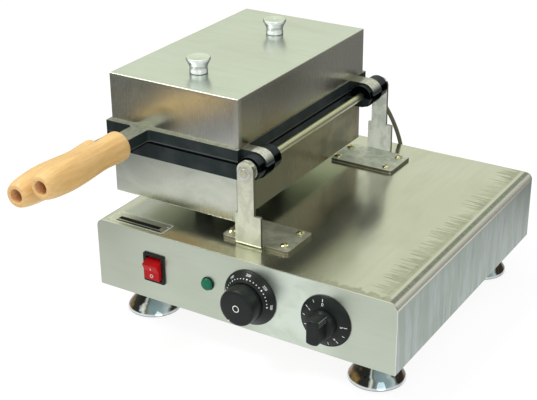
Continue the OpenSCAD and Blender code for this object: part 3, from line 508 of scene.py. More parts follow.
def cast_plate(name, sign, thickness):
    """dark coating, machined faces worn bright, machined lug backs with a painted highlight on top;
    sign is +1 for the upper plate, -1 for the lower, whose body lies below the parting plane"""
    m = Material(name)
    x, y, z = m.xyz()
    grain = m.noise(1.1, detail=5, rough=0.65)
    broad = m.noise(0.05, detail=3)
    m.colour = m.mix(grain.fade(0.35, 0.7), (0.009, 0.015, 0.016), (0.024, 0.036, 0.036))
    m.paint(broad.fade(0.4, 0.7, high=0.5), (0.040, 0.048, 0.050))
    face_metal = m.mix(m.noise((0.9, 0.12, 0.9), detail=3).fade(0.3, 0.7),
                       (0.40, 0.40, 0.345), (0.25, 0.25, 0.21))
    lug_highlight_metal = m.mix(m.noise((0.3, 2.2, 0.3), detail=3).fade(0.35, 0.6),
                      (0.86, 0.88, 0.76), (0.50, 0.51, 0.42))
    height = (z - ROD_Z) * sign
    _, normal_y, normal_z = m.normal()
    face = (normal_z * sign).fade(0.80, 0.95) * height.fade(thickness - 0.5, thickness - 0.2)
    lug_highlight = 0.0
    if sign > 0:
        # the round backs of the hinge lugs, machined metal with a painted highlight: bright on top,
        # dark below
        dx = x - ROD_X
        radius = (dx * dx + height * height).root()
        lug_highlight = (radius.fade(thickness - 0.9, thickness - 0.5)
               * radius.fade(thickness + 1.5, thickness + 0.6))
        lug_highlight = lug_highlight * abs(normal_y).fade(0.5, 0.2) * height.fade(3.5, 11.0)
    # wear on the machined faces, with the painted highlight on the lugs
    worn = face.larger(lug_highlight) * m.noise(0.35, detail=4, rough=0.7).fade(0.28, 0.5, low=0.55)
    # the parting line: a dark gap, with a thin worn arris above it on the upper plate
    upright = abs(normal_z).fade(0.6, 0.4)
    if sign > 0:
        arris = height.fade(1.3, 1.6) * height.fade(2.9, 2.5)
        m.paint(arris * upright * 0.8, (0.075, 0.085, 0.085))
    gap = height.fade(1.4, 1.1) * upright
    m.paint(gap, (0.001, 0.0015, 0.0015))
    m.paint(worn, m.mix(lug_highlight, face_metal, lug_highlight_metal))
    m.set(Base_Color=m.colour, Metallic=worn * m.mix(lug_highlight, 0.85, 0.35),
          Roughness=m.mix(worn, grain.fade(0.3, 0.7, low=0.36, high=0.52), 0.42),
          Specular_IOR_Level=m.mix(gap, 0.16, 0.0),
          Normal=m.bump(grain, strength=0.35, distance=0.00018))


def casting_edge():
    m = Material("casting_edge")
    wear = m.noise(0.5, detail=4, rough=0.7)
    seam = abs(m.xyz()[2] - ROD_Z).fade(1.2, 2.0)
    worn = m.mix(wear.fade(0.35, 0.65), (0.030, 0.038, 0.038), (0.14, 0.155, 0.145))
    m.set(Base_Color=m.mix(seam, (0.004, 0.005, 0.005), worn),
          Metallic=wear.fade(0.4, 0.7, high=0.5), Roughness=0.36)


# ------------------------------------------------------------------ wood, plastic and the rest


def turned_beech():
    m = Material("turned_beech")
    warp = m.noise((0.05, 0.012, 0.05), detail=2)
    along = m.stretch(m.co(), scale=(0.28, 0.016, 0.28))
    warped = m.wire(0, "ShaderNodeVectorMath", {0: along, 1: warp}, operation="ADD")
    grain = m.noise(1.0, detail=5, rough=0.6, dist=0.8, vector=warped)
    fine = m.noise((2.2, 0.10, 2.2), detail=3, rough=0.6)
    fleck = m.noise((1.4, 0.5, 1.4), detail=2, rough=0.5, offset=(5, 3, 1))
    m.colour = m.mix(grain.fade(0.32, 0.68), srgb(226, 188, 124), srgb(212, 170, 104))
    m.paint(fine.fade(0.45, 0.75, high=0.35), srgb(200, 150, 88))
    m.paint(fleck.fade(0.66, 0.74, high=0.35), srgb(184, 132, 74))
    m.paint(m.noise(0.03, detail=2).fade(0.35, 0.7, high=0.25), srgb(240, 206, 150))
    m.set(Base_Color=m.colour, Roughness=fine.fade(0.3, 0.7, low=0.38, high=0.52),
          Coat_Weight=0.25, Coat_Roughness=0.25, Specular_IOR_Level=0.4,
          Subsurface_Weight=0.06, Subsurface_Radius=(0.004, 0.002, 0.001),
          Normal=m.bump(fine, strength=0.15, distance=0.00012))


def bored_wood():
    """bare wood inside the handle hole"""
    m = Material("bored_wood")
    grain = m.noise((0.8, 0.2, 0.8), detail=4)
    m.set(Base_Color=m.mix(grain.fade(0.3, 0.7), srgb(222, 172, 122), srgb(198, 146, 98)),
          Roughness=0.75, Normal=m.bump(grain, strength=0.3, distance=0.0002))


def plastic(name, colour, rough, bump=0.12, scale=2.2, variation=0.25, specular=0.5):
    m = Material(name)
    fine = m.noise(scale, detail=4, rough=0.6)
    broad = m.noise(0.08, detail=3)
    lighter = tuple(min(1, c * (1 + variation)) for c in colour)
    m.set(Base_Color=m.mix(broad.fade(0.35, 0.7), colour, lighter),
          Roughness=fine.fade(0.25, 0.75, low=rough * 0.85, high=rough * 1.2, smooth=False),
          Normal=m.bump(fine, strength=bump, distance=0.00008), Specular_IOR_Level=specular)
    return m


def green_lens():
    m = Material("green_lens")
    cloud = m.noise(0.9, detail=2)
    m.set(Base_Color=m.mix(cloud.fade(0.3, 0.7), (0.004, 0.105, 0.055), (0.008, 0.16, 0.085)),
          Roughness=0.18, Specular_IOR_Level=0.25,
          Subsurface_Weight=0.12, Subsurface_Radius=(0.0005, 0.002, 0.001),
          Emission_Color=(0.0, 0.25, 0.12), Emission_Strength=0.04,
          Normal=m.bump(m.noise(1.6, detail=1), strength=0.25, distance=0.0003))


def braided_sleeve():
    """braided glass sleeve on the leads: two crossed sets of bands"""
    m = Material("braided_sleeve")
    first, second = [
        m.wire("Fac", "ShaderNodeTexWave", {"Vector": vector, "Scale": 0.55},
               wave_type="BANDS", bands_direction="DIAGONAL")
        for vector in (m.co(), m.stretch(m.co(), scale=(1, -1, -1)))]
    weave = first * second
    m.set(Base_Color=m.mix(weave, (0.10, 0.10, 0.055), (0.22, 0.21, 0.13)), Roughness=0.8,
          Normal=m.bump(weave, strength=0.6, distance=0.0004))


def blank_plate():
    """rating plate metal, paler towards its left end"""
    m = Material("blank_plate")
    brush = m.noise((0.05, 1.4, 1), detail=4)
    m.colour = m.mix(brush.fade(0.3, 0.7), (0.40, 0.43, 0.37), (0.28, 0.31, 0.26))
    m.paint(m.xyz()[0].fade(20, 48, low=0.85, high=0.0), (0.74, 0.76, 0.60))
    m.set(Base_Color=m.colour, Metallic=0.8, Roughness=0.34,
          Normal=m.bump(brush, strength=0.15, distance=0.00005))


def build_materials():
    base_top_steel()
    panel_steel()
    cover_steel_sides()
    cover_steel_top()
    stand_steel()
    m = Sheet("stand_side_steel", "z", rough=0.45, aniso=0.1, wave=0.1)
    m.steel_colour(tint=(0.26, 0.25, 0.19), dirt=0.5)
    m = Sheet("inner_sheet", "x", rough=0.34, aniso=0.2, wave=0.2)
    m.steel_colour(tint=(0.60, 0.61, 0.54), dirt=0.3)
    metal("bright_zinc", (0.88, 0.89, 0.86), rough=0.24, scale=1.2)
    metal("yellow_passivate", (0.88, 0.82, 0.56), rough=0.14, scale=1.5, variation=0.14)
    metal("ground_rod", (0.88, 0.86, 0.62), rough=0.30, scale=0.9, variation=0.08, bump=0.1)
    polished_chrome()
    metal("oxidised_heater", (0.30, 0.26, 0.22), rough=0.5, scale=0.5, variation=0.2)
    metal("drawn_copper", (0.72, 0.40, 0.26), rough=0.3, scale=0.5)
    turned_aluminium()
    cast_plate("cast_plate_upper", 1.0, UPPER_T)
    cast_plate("cast_plate_lower", -1.0, LOWER_T)
    turned_beech()
    bored_wood()
    plastic("moulded_black", (0.010, 0.012, 0.0115), rough=0.42, bump=0.18, scale=2.5,
            specular=0.22)
    plastic("dial_black", (0.010, 0.0135, 0.0125), rough=0.36, scale=3.0, specular=0.22)
    # painted highlight: the timer's ribs take a lighter grey than the black bar
    plastic("rib_highlight_grey", (0.10, 0.11, 0.11), rough=0.30, bump=0.1, scale=3.0)
    plastic("cream_moulding", (0.62, 0.58, 0.47), rough=0.5)
    plastic("black_rubber", (0.015, 0.015, 0.015), rough=0.75, bump=0.4, scale=1.5)
    plastic("silicone_wire", (0.45, 0.05, 0.04), rough=0.5)
    plastic("white_print", (0.86, 0.88, 0.86), rough=0.5, bump=0.05, scale=3.0, variation=0.05)
    plastic("mineral_wool", (0.68, 0.64, 0.52), rough=0.95, bump=0.9, scale=0.6, variation=0.15)
    red = plastic("red_rocker", (0.46, 0.004, 0.007), rough=0.42, bump=0.06, scale=2.0,
                  specular=0.18)
    red.set(Subsurface_Weight=0.08, Subsurface_Radius=(0.003, 0.0005, 0.0004))
    plastic("rocker_print", (0.88, 0.62, 0.58), rough=0.4, bump=0.05, scale=3.0, variation=0.05)
    green_lens()
    braided_sleeve()
    blank_plate()
    plastic("plate_ink", (0.006, 0.006, 0.006), rough=0.6, bump=0.1, scale=2.0, specular=0.1)
    # bevelled edges paler than the sheets: partly bare ground metal, partly a painted highlight
    metal("ground_edge_highlight", (0.93, 0.93, 0.86), rough=0.34, scale=1.6, bump=0.25)
    side_steel()
    casting_edge()


build_materials()

# ------------------------------------------------------------------ objects
# A mesh below is a pair (vertices, faces), in local millimetres.


@contextmanager
def edited(mesh):
    bm = bmesh.new()
    bm.from_mesh(mesh)
    yield bm
    bm.to_mesh(mesh)
    bm.free()


def add_object(name, data, finishes=()):
    o = bpy.data.objects.new(name, data)
    bpy.context.scene.collection.objects.link(o)
    if finishes:
        dress(data, finishes)
    return o


def dress(data, finishes):
    data.materials.clear()
    for finish in finishes:
        data.materials.append(MATERIALS[finish])


def register(o, body=None, slot=None, replaces=None):
    if body:
        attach(o, body)
    if replaces:
        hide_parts(replaces)


def even_normals(o):
    even = o.modifiers.new("even", "WEIGHTED_NORMAL")
    even.keep_sharp = True
    even.weight = 80


def make(name, mesh, finishes, smooth=True, sharp=None, face_finish=None, **registration):
    """sharp is the angle in degrees over which edges stay hard"""
    verts, faces = mesh
    data = bpy.data.meshes.new(name)
    data.from_pydata([tuple(to_frame(*v)) for v in verts], [], faces)
    data.validate()
    data.update()
    o = add_object(name, data, finishes)
    if face_finish is not None:
        for polygon, index in zip(data.polygons, face_finish):
            polygon.material_index = index
    with edited(data) as bm:
        bmesh.ops.recalc_face_normals(bm, faces=bm.faces)
    if smooth:
        data.polygons.foreach_set("use_smooth", [True] * len(data.polygons))
        if sharp is not None:
            data.set_sharp_from_angle(angle=math.radians(sharp))
    register(o, **registration)
    return o


def bevel_sharp(bm, width, segments=2, angle=30, edge_finish=0):
    """softens the edges sharper than the angle; width in millimetres"""
    edges = [e for e in bm.edges
             if len(e.link_faces) == 2 and e.calc_face_angle(0) > math.radians(angle)]
    bmesh.ops.bevel(bm, geom=edges, offset=width / 1000, segments=segments, profile=0.5,
                    affect="EDGES", clamp_overlap=True, material=edge_finish)


def cad_piece(node, name, finishes, body, slot, bevel, segments=2, angle=30, edge_finish=0):
    """a new piece with the shape of a CAD node, its edges softened"""
    data = NODES[node].data.copy()
    data.name = name
    o = add_object(name, data, finishes)
    with edited(data) as bm:
        bmesh.ops.remove_doubles(bm, verts=bm.verts, dist=2e-6)
        bmesh.ops.dissolve_limit(bm, angle_limit=math.radians(0.6), verts=bm.verts,
                                 edges=bm.edges, delimit={"NORMAL"})
        for face in bm.faces:
            face.material_index = 0
        bevel_sharp(bm, bevel, segments, angle, edge_finish)
        bmesh.ops.recalc_face_normals(bm, faces=bm.faces)
    if "custom_normal" in data.attributes:
        data.attributes.remove(data.attributes["custom_normal"])
    data.polygons.foreach_set("use_smooth", [True] * len(data.polygons))
    data.set_sharp_from_angle(angle=math.radians(28))
    even_normals(o)
    register(o, body, slot, node)
    return o


def pick_finishes(o, choose):
    """choose(polygon, x, y, z) gives the material slot, from the face's local centre"""
    for polygon in o.data.polygons:
        centre = [c * 1000 - origin for c, origin in zip(polygon.center, ORIGIN)]
        polygon.material_index = choose(polygon, *centre)


# ------------------------------------------------------------------ mesh shapes


def join(parts):
    verts, faces = [], []
    for part_verts, part_faces in parts:
        first = len(verts)
        verts += part_verts
        faces += [tuple(i + first for i in face) for face in part_faces]
    return verts, faces


def lathe(profile, seg, closed=False):
    """profile of (radius, height) about the height; radius 0 makes a single point"""
    verts, faces, rows = [], [], []
    for r, h in profile:
        count = 1 if r < 1e-6 else seg
        rows.append(range(len(verts), len(verts) + count))
        turns = [2 * math.pi * i / seg for i in range(count)]
        verts += [(r * math.cos(a), r * math.sin(a), h) for a in turns]
    pairs = list(zip(rows[:-1], rows[1:]))
    if closed:
        pairs.append((rows[-1], rows[0]))
    for a, b in pairs:
        for i in range(seg):
            j = (i + 1) % seg
            if len(a) == 1:
                faces.append((a[0], b[j], b[i]))
            elif len(b) == 1:
                faces.append((a[i], a[j], b[0]))
            else:
                faces.append((a[i], a[j], b[j], b[i]))
    return verts, faces


# where a lathe's x, y and height go, for each direction of its height
TURNED = {
    "z": lambda x, y, h: (x, y, h),
    "-z": lambda x, y, h: (x, -y, -h),
    "-y": lambda x, y, h: (x, -h, y),
}


def placed(mesh, origin, direction="z"):
    turned = [TURNED[direction](*v) for v in mesh[0]]
    return [tuple(o + c for o, c in zip(origin, v)) for v in turned], mesh[1]


def spline_spans(points, steps):
    """the four points around each station of a Catmull-Rom curve, and its place between"""
    last = len(points) - 1
    for i in range(last):
        near = [points[min(max(k, 0), last)] for k in range(i - 1, i + 3)]
        for step in range(steps):
            yield near, step / steps


def catmull_rom(a, b, c, d, t):
    return 0.5 * (2 * b + (c - a) * t + (2 * a - 5 * b + 4 * c - d) * t * t
                  + (3 * b - a - 3 * c + d) * t ** 3)


def smooth_profile(points, steps=5):
    out = [tuple(catmull_rom(*values, t) for values in zip(*near))
           for near, t in spline_spans(points, steps)]
    return out + [points[-1]]


def round_corners(points, radius, seg):
    """rounds the corners of an open (radius, height) profile"""
    out = [points[0]]
    for before, corner, after in zip(points, points[1:], points[2:]):
        p = Vector(corner)
        back, on = Vector(before) - p, Vector(after) - p
        reach = min(radius, back.length * 0.45, on.length * 0.45)
        start, end = p + back.normalized() * reach, p + on.normalized() * reach
        for j in range(seg + 1):
            t = j / seg
            q = (1 - t) ** 2 * start + 2 * t * (1 - t) * p + t * t * end
            out.append((q.x, q.y))
    return out + [points[-1]]


def rounded_box(low, high, r, n, open_side=None, arc=4):
    """an all-quad box with rounded edges: vertices, faces, and the side each face is on.
    n is the cells along each flat, arc the cells round half an edge; sides are 'x0' to 'z1'"""

    def ticks(a, b, k):
        start = [a + r * math.tan(math.pi / 4 * i / arc) for i in range(arc)]
        flat = [a + r + (b - a - 2 * r) * i / k for i in range(k + 1)]
        end = [b - r * math.tan(math.pi / 4 * (arc - 1 - i) / arc) for i in range(arc)]
        return start + flat + end

    marks = [ticks(*along) for along in zip(low, high, n)]
    inset = [[r, r] for _ in range(3)]
    if open_side:
        inset["xyz".index(open_side[0])][int(open_side[1])] = 0.0
    index, verts, faces, sides = {}, [], [], []

    def vertex(p):
        key = tuple(round(c, 5) for c in p)
        if key not in index:
            core = [min(max(p[i], low[i] + inset[i][0]), high[i] - inset[i][1])
                    for i in range(3)]
            outward = Vector(p) - Vector(core)
            # points off the core are pushed onto the rounded edge
            if outward.length > 1e-9:
                v = Vector(core) + outward.normalized() * r
            else:
                v = Vector(p)
            index[key] = len(verts)
            verts.append(tuple(v))
        return index[key]

    for axis, (u, w) in enumerate(((1, 2), (0, 2), (0, 1))):
        for end, corner in enumerate((low, high)):
            side = f"{'xyz'[axis]}{end}"
            if side == open_side:
                continue
            for i in range(len(marks[u]) - 1):
                for j in range(len(marks[w]) - 1):
                    quad = []
                    for a, b in ((i, j), (i + 1, j), (i + 1, j + 1), (i, j + 1)):
                        p = [0, 0, 0]
                        p[axis] = corner[axis]
                        p[u], p[w] = marks[u][a], marks[w][b]
                        quad.append(vertex(p))
                    faces.append(tuple(quad))
                    sides.append(side)
    return verts, faces, sides


def tube(points, r=2.4, seg=20, steps=8):
    """a smooth round tube through the points, closed at both ends"""
    points = [Vector(p) for p in points]
    path = [catmull_rom(*near, t) for near, t in spline_spans(points, steps)] + [points[-1]]
    last = len(path) - 1
    verts, faces = [], []
    up = None
    for i, p in enumerate(path):
        along = (path[min(i + 1, last)] - path[max(i - 1, 0)]).normalized()
        if up is None:
            up = along.orthogonal().normalized()
        up = (up - along * up.dot(along)).normalized()
        side = along.cross(up)
        for k in range(seg):
            a = 2 * math.pi * k / seg
            verts.append(tuple(p + (up * math.cos(a) + side * math.sin(a)) * r))
    for row in range(0, last * seg, seg):
        for k in range(seg):
            j = (k + 1) % seg
            faces.append((row + k, row + j, row + seg + j, row + seg + k))
    faces.append(tuple(range(seg)))
    faces.append(tuple(range(last * seg, (last + 1) * seg)))
    return verts, faces


# flat marks, centred, x to the right and y up
MARK_T = 0.12


def digits(text, size):
    curve = bpy.data.curves.new("t", "FONT")
    curve.body = text
    curve.size = size
    curve.align_x = "CENTER"
    curve.align_y = "CENTER"
    curve.extrude = MARK_T / 2
    curve.resolution_u = 3
    o = add_object("t", curve)
    bpy.context.view_layer.update()
    solid = o.evaluated_get(bpy.context.evaluated_depsgraph_get())
    data = bpy.data.meshes.new_from_object(solid)
    bm = bmesh.new()
    bm.from_mesh(data)
    bmesh.ops.remove_doubles(bm, verts=bm.verts, dist=1e-4)
    bm.verts.index_update()
    verts = [tuple(v.co) for v in bm.verts]
    faces = [tuple(v.index for v in f.verts) for f in bm.faces]
    bm.free()
    bpy.data.objects.remove(o)
    bpy.data.curves.remove(curve)
    bpy.data.meshes.remove(data)
    return verts, faces


def disc(r, seg=14):
    turns = [2 * math.pi * i / seg for i in range(seg)]
    verts = [(r * math.cos(a), r * math.sin(a), z)
             for z in (-MARK_T / 2, MARK_T / 2) for a in turns]
    faces = [tuple(range(seg)), tuple(range(seg, 2 * seg))]
    faces += [(i, (i + 1) % seg, seg + (i + 1) % seg, seg + i) for i in range(seg)]
    return verts, faces


def flat_ring(inner, outer, thick=MARK_T):
    low, high = -thick / 2, thick / 2
    return lathe([(inner, low), (outer, low), (outer, high), (inner, high)], 40, closed=True)


def slab(w, h, thick=MARK_T):
    verts = [(x * w / 2, y * h / 2, z * thick / 2)
             for z in (-1, 1) for x, y in ((-1, -1), (1, -1), (1, 1), (-1, 1))]
    faces = [(0, 1, 2, 3), (4, 5, 6, 7), (0, 1, 5, 4), (1, 2, 6, 5), (2, 3, 7, 6), (3, 0, 4, 7)]
    return verts, faces


# ------------------------------------------------------------------ base


def wrap_finish(polygon, x, y, z):
    # the side faces take side_steel, a darker copy of the same sheet: painted shade
    if z < -8.0 and abs(polygon.normal.x) > 0.9:
        return 1
    if polygon.normal.z < -0.5 or z < -BASE_H + 4:
        return 2
    return 0


def front_finish(polygon, x, y, z):
    rim = 8.5
    if y > 1.4:
        return 2
    # the welded and ground outline, top and sides
    on_rim = min(x, BASE_W - x) < rim or z > -rim
    return 1 if polygon.normal.y > -0.93 and on_rim else 0


def base_sheets():
    wrap = cad_piece("base_shell", "base_wrap", ["base_top_steel", "side_steel", "inner_sheet"],
                     "base", "brushed_sheet", bevel=0.25)
    pick_finishes(wrap, wrap_finish)
    front = cad_piece("front_panel", "front_sheet",
                      ["panel_steel", "ground_edge_highlight", "inner_sheet"],
                      "base", "brushed_sheet", bevel=0.35)
    pick_finishes(front, front_finish)
    cad_piece("rear_panel", "rear_sheet", ["panel_steel", "ground_edge_highlight"],
              "base", "brushed_sheet", bevel=0.35)


def rating_plate():
    """blank plate with dark bands, a white rule round it and two rivets"""
    plate = Box("nameplate")
    left, front, bottom = plate.low
    right, back, top = plate.high
    mesh = rounded_box((left, front, bottom - 0.15), plate.high, 0.12, (6, 3, 1), arc=2)[:2]
    make("rating_plate", mesh, ["blank_plate"], body="base", slot="plate_black",
         replaces="nameplate")

    def strips(name, finish, rise, rectangles):
        parts = [rounded_box((x0, y0, top - 0.1), (x1, y1, top + rise), 0.06, (4, 2, 1),
                             arc=2)[:2] for x0, x1, y0, y1 in rectangles]
        make(name, join(parts), [finish], body="base", slot="plate_black")

    # left, right, front and back of each strip
    strips("rating_plate_band", "plate_ink", 0.04, [
        (left + 9, right - 9, front + 6.6, front + 12.4),
        (left + 9, right - 5, front + 2.6, front + 4.8)])
    strips("rating_plate_rule", "white_print", 0.05, [
        (left + 0.5, right - 0.5, front + 0.5, front + 1.3),
        (left + 0.5, right - 0.5, back - 1.1, back - 0.5),
        (left + 0.5, left + 1.1, front + 0.5, back - 0.5),
        (right - 1.3, right - 0.5, front + 0.5, back - 0.5)])
    rivet = lathe(round_corners([(1.1, 0), (1.1, 0.15), (0.5, 0.42), (0, 0.45)], 0.2, 2), 16)
    parts = []
    for x in (left + 2.2, right - 2.2):
        # rivets left of x = 40 shift right, the others left
        shift = 1.6 if x < 40 else -1.6
        parts.append(placed(rivet, (x + shift, plate.mid[1] + 5, top - 0.02)))
    make("rating_plate_rivets", join(parts), ["bright_zinc"], body="base", slot="zinc")


base_sheets()
rating_plate()

# ------------------------------------------------------------------ covers


def cover(node, name, body, open_side, front_edge, corner_edge):
    """a sheet box open towards the plate; the last two are how bright the front edge of
    its flat and its front right corner are made, partly ground metal and partly a painted highlight"""
    box = Box(node)
    (x0, y0, z0), (x1, y1, z1) = box.low, box.high
    r = 1.0
    upper = open_side == "z0"
    flat_z, rim_z = (z1, z0) if upper else (z0, z1)
    verts, faces, sides = rounded_box(box.low, box.high, r, (24, 40, 10), open_side, arc=3)
    near = 1e-6
    edge, dished = [], []
    for x, y, z in verts:
        at_right = x > x1 - r + near
        at_front = y < y0 + r - near
        at_side = x < x0 + r - near or at_right
        at_end = at_front or y > y1 - r + near
        at_flat = abs(z - flat_z) < r - near
        # edges lightened: partly ground metal, partly a painted highlight
        ground = 0.30 if at_side + at_end + at_flat >= 2 else 0.0
        if at_front and at_flat:
            ground = front_edge
        if at_front and at_right:
            ground = max(ground, corner_edge)
        edge.append(ground)
        # the sheet is not dead flat: each face dishes a little
        u, v, w = (x - x0) / (x1 - x0), (y - y0) / (y1 - y0), abs(z - rim_z) / (z1 - z0)
        hump_u, hump_v, hump_w = (math.sin(math.pi * c) for c in (u, v, w))
        dx = dy = dz = 0
        if abs(z - flat_z) < near:
            dz = 0.45 * hump_u * hump_v * (0.7 + 0.3 * math.sin(7 * u + 5 * v))
        if abs(x - x1) < near or abs(x - x0) < near:
            dx = 0.40 * hump_v * hump_w * (0.7 + 0.3 * math.sin(9 * v))
        if abs(y - y0) < near or abs(y - y1) < near:
            dy = 0.35 * hump_u * hump_w * (0.6 + 0.4 * math.sin(6 * u + 1))
        dished.append((x - dx if x > (x0 + x1) / 2 else x + dx,
                       y + dy if y < (y0 + y1) / 2 else y - dy,
                       z - dz if upper else z + dz))
    flat_side = "z1" if upper else "z0"
    o = make(name, (dished, faces), ["cover_steel_sides", "cover_steel_top"],
             face_finish=[int(side == flat_side) for side in sides])
    attribute = o.data.attributes.new("edge", "FLOAT", "POINT")
    attribute.data.foreach_set("value", edge)
    sheet = o.modifiers.new("sheet", "SOLIDIFY")
    sheet.thickness = 0.0012
    sheet.offset = -1
    even_normals(o)
    register(o, body, "cover_sheet", node)


cover("upper_cover", "upper_box", "upper_mould", "z0", front_edge=0.30, corner_edge=0.8)
cover("lower_cover", "lower_box", "lower_mould", "z1", front_edge=0.5, corner_edge=0.7)

# ------------------------------------------------------------------ castings
for level in ("upper", "lower"):
    cad_piece(level + "_plate", level + "_casting", ["cast_plate_" + level, "casting_edge"],
              level + "_mould", "cast_plate", bevel=0.5, angle=35, edge_finish=1)

# ------------------------------------------------------------------ stands, rod and fixings
STAND_T = 3.5


def stand_finish(polygon, x, y, z):
    if polygon.material_index == 1 and z > 0.4:
        return 1
    normal = polygon.normal
    return 2 if abs(normal.x) > 0.8 or (z < 3.4 and abs(normal.z) < 0.3) else 0


def screw_head(r, height, turn):
    """a slotted pan head as a height field, with its shank"""
    seg, rings = 72, 22
    slot_half, slot_floor = 0.80, height - 1.25
    shank_r, shank_l = 2.5, 7.6
    turns = [2 * math.pi * k / seg for k in range(seg)]

    def band(a, b):
        return [(a + k, b + k, b + (k + 1) % seg, a + (k + 1) % seg) for k in range(seg)]

    verts = [(0.0, 0.0, slot_floor)]
    for i in range(1, rings + 1):
        ring_r = r * i / rings
        for a in turns:
            x, y = ring_r * math.cos(a), ring_r * math.sin(a)
            z = height * (1 - (ring_r / r) ** 3.2 * 0.62)
            if abs(x * math.cos(turn) + y * math.sin(turn)) < slot_half:
                z = min(z, slot_floor)
            verts.append((x, y, max(z, 0.15)))
    for radius, z in ((r, 0.0), (shank_r, 0.0), (shank_r, -shank_l)):
        verts += [(radius * math.cos(a), radius * math.sin(a), z) for a in turns]
    faces = [(0, 1 + k, 1 + (k + 1) % seg) for k in range(seg)]
    # the rings of the head, its underside and the shank
    for i in range(rings + 2):
        faces += band(1 + i * seg, 1 + (i + 1) * seg)
    end = 1 + (rings + 2) * seg
    faces.append(tuple(end + k for k in range(seg)))
    return verts, faces


def stand_screws():
    r, pitch = 4.7, 31.0
    box = Box("stand_screws")
    front, back = box.low[1] + r, box.high[1] - r
    # turn of each slot in degrees, front to back, the left row then the right
    turns = iter((70, 20, 100, 62, 78, 55, 95, 66))
    parts = []
    for x in (box.low[0] + r, box.high[0] - r):
        for y in (front, front + pitch, back - pitch, back):
            head = screw_head(r, box.high[2] - STAND_T, math.radians(next(turns)))
            parts.append(placed(head, (x, y, STAND_T)))
    make("stand_screw_set", join(parts), ["yellow_passivate"], sharp=32, body="base",
         slot="yellow_zinc", replaces="stand_screws")


for place in ("front", "rear"):
    stand = cad_piece("stand_" + place, place + "_stand",
                      ["stand_steel", "ground_edge_highlight", "stand_side_steel"],
                      "base", "stand_steel", bevel=0.30, edge_finish=1)
    pick_finishes(stand, stand_finish)
stand_screws()
for node, name, finish, slot, bevel in (
        ("hinge_rod", "hinge_bar", "ground_rod", "rod_steel", 0.7),
        ("hinge_nuts", "hinge_nut_pair", "bright_zinc", "zinc", 0.5),
        ("hinge_washers", "hinge_washer_pair", "bright_zinc", "zinc", 0.3)):
    cad_piece(node, name, [finish], "base", slot, bevel)

# ------------------------------------------------------------------ handles


def handle(node, name, body):
    box = Box(node)
    r = box.radius
    length = box.high[1] - box.low[1]
    bore_r, mouth_r = 4.15, 7.0
    # part of the radius, distance from the cover
    outline = [(0.88, 0), (0.93, 1.6), (0.93, 8), (0.89, 18), (0.86, 28.5), (0.89, 42.5),
               (0.95, 56.5), (0.990, 72.5), (0.990, 82.5), (0.948, 94.5),
               (0.885, length - 13), (0.80, length - 5.5)]
    outer = smooth_profile([(r * part, h) for part, h in outline])
    # radius, distance from the cover
    end = [(r * 0.715, length - 1.6), (r * 0.66, length - 0.5), (r * 0.60, length),
           (r * 0.50, length), (7.35, length - 0.25), (mouth_r, length - 0.9)]
    outside = [(bore_r, 0.35), (r * 0.80, 0.0)] + outer + end
    bore = [(mouth_r, length - 12), (mouth_r, length - 23.2), (6.4, length - 24),
            (bore_r, length - 24)]
    seg = 96
    mesh = lathe(outside + bore, seg, closed=True)
    bore_from = (len(outside) - 1) * seg
    make(name, placed(mesh, (box.mid[0], box.high[1], box.mid[2]), "-y"),
         ["turned_beech", "bored_wood"], sharp=40,
         face_finish=[int(i >= bore_from) for i in range(len(mesh[1]))],
         body=body, slot="handle_wood", replaces=node)


handle("upper_handle", "upper_grip", "upper_mould")
handle("lower_handle", "lower_grip", "lower_mould")

# ------------------------------------------------------------------ knobs and rest feet of the moulds


def knob_pair(node, name, body, direction):
    box = Box(node)
    r = box.radius
    length = box.high[2] - box.low[2]
    seat = box.low[2] if direction == "z" else box.high[2]
    bore_r = 3.05
    # radius, height over the seat
    profile = [
        (bore_r, 0), (9.0, 0), (9.55, 0.5), (9.6, length * 0.20), (9.5, length * 0.215),
        (9.3, length * 0.225), (9.25, length * 0.30), (9.3, length * 0.37),
        (9.45, length * 0.40), (9.9, length * 0.50), (10.7, length * 0.62),
        (11.8, length * 0.74), (r - 0.15, length * 0.825), (r, length * 0.86),
        (r, length * 0.94), (r - 0.25, length * 0.98), (r - 0.8, length), (r - 2.4, length),
        (r - 2.6, length - 0.08), (1.1, length - 0.08), (0.9, length - 0.3), (0, length - 0.35),
    ]
    # the stud's bore closes the hidden underside
    bore = [(bore_r, 0), (bore_r, length * 0.6), (0, length * 0.6)]
    parts = [placed(lathe(line, 80), (box.mid[0], y, seat), direction)
             for y in (box.low[1] + r, box.high[1] - r) for line in (profile, bore)]
    o = make(name, join(parts), ["turned_aluminium"], sharp=38)
    with edited(o.data) as bm:
        bmesh.ops.remove_doubles(bm, verts=bm.verts, dist=1e-7)
        bmesh.ops.recalc_face_normals(bm, faces=bm.faces)
    o.data.set_sharp_from_angle(angle=math.radians(38))
    register(o, body, "turned_aluminium", node)


knob_pair("upper_knobs", "upper_knob_pair", "upper_mould", "z")
knob_pair("lower_feet", "lower_foot_pair", "lower_mould", "-z")

# ------------------------------------------------------------------ feet
# heights are from the underside of the base


def foot_bell(r):
    # radius, height: outside of the bell, then its inside
    outer = smooth_profile([
        (9.6, -8.0), (9.6, -12.0), (11.0, -14.6), (14.6, -18.0), (19.4, -21.9),
        (23.6, -26.0), (26.6, -29.8), (28.6, -32.8), (r, -34.2)])
    inner = [(r, -35.0), (r - 0.4, -35.25), (r - 1.2, -35.2), (r - 3.6, -31.6),
             (r - 8.8, -27.4), (15, -24), (10, -22), (0, -21)]
    return lathe([(5.0, -8.0), (9.3, -8.0)] + outer + inner, 96)


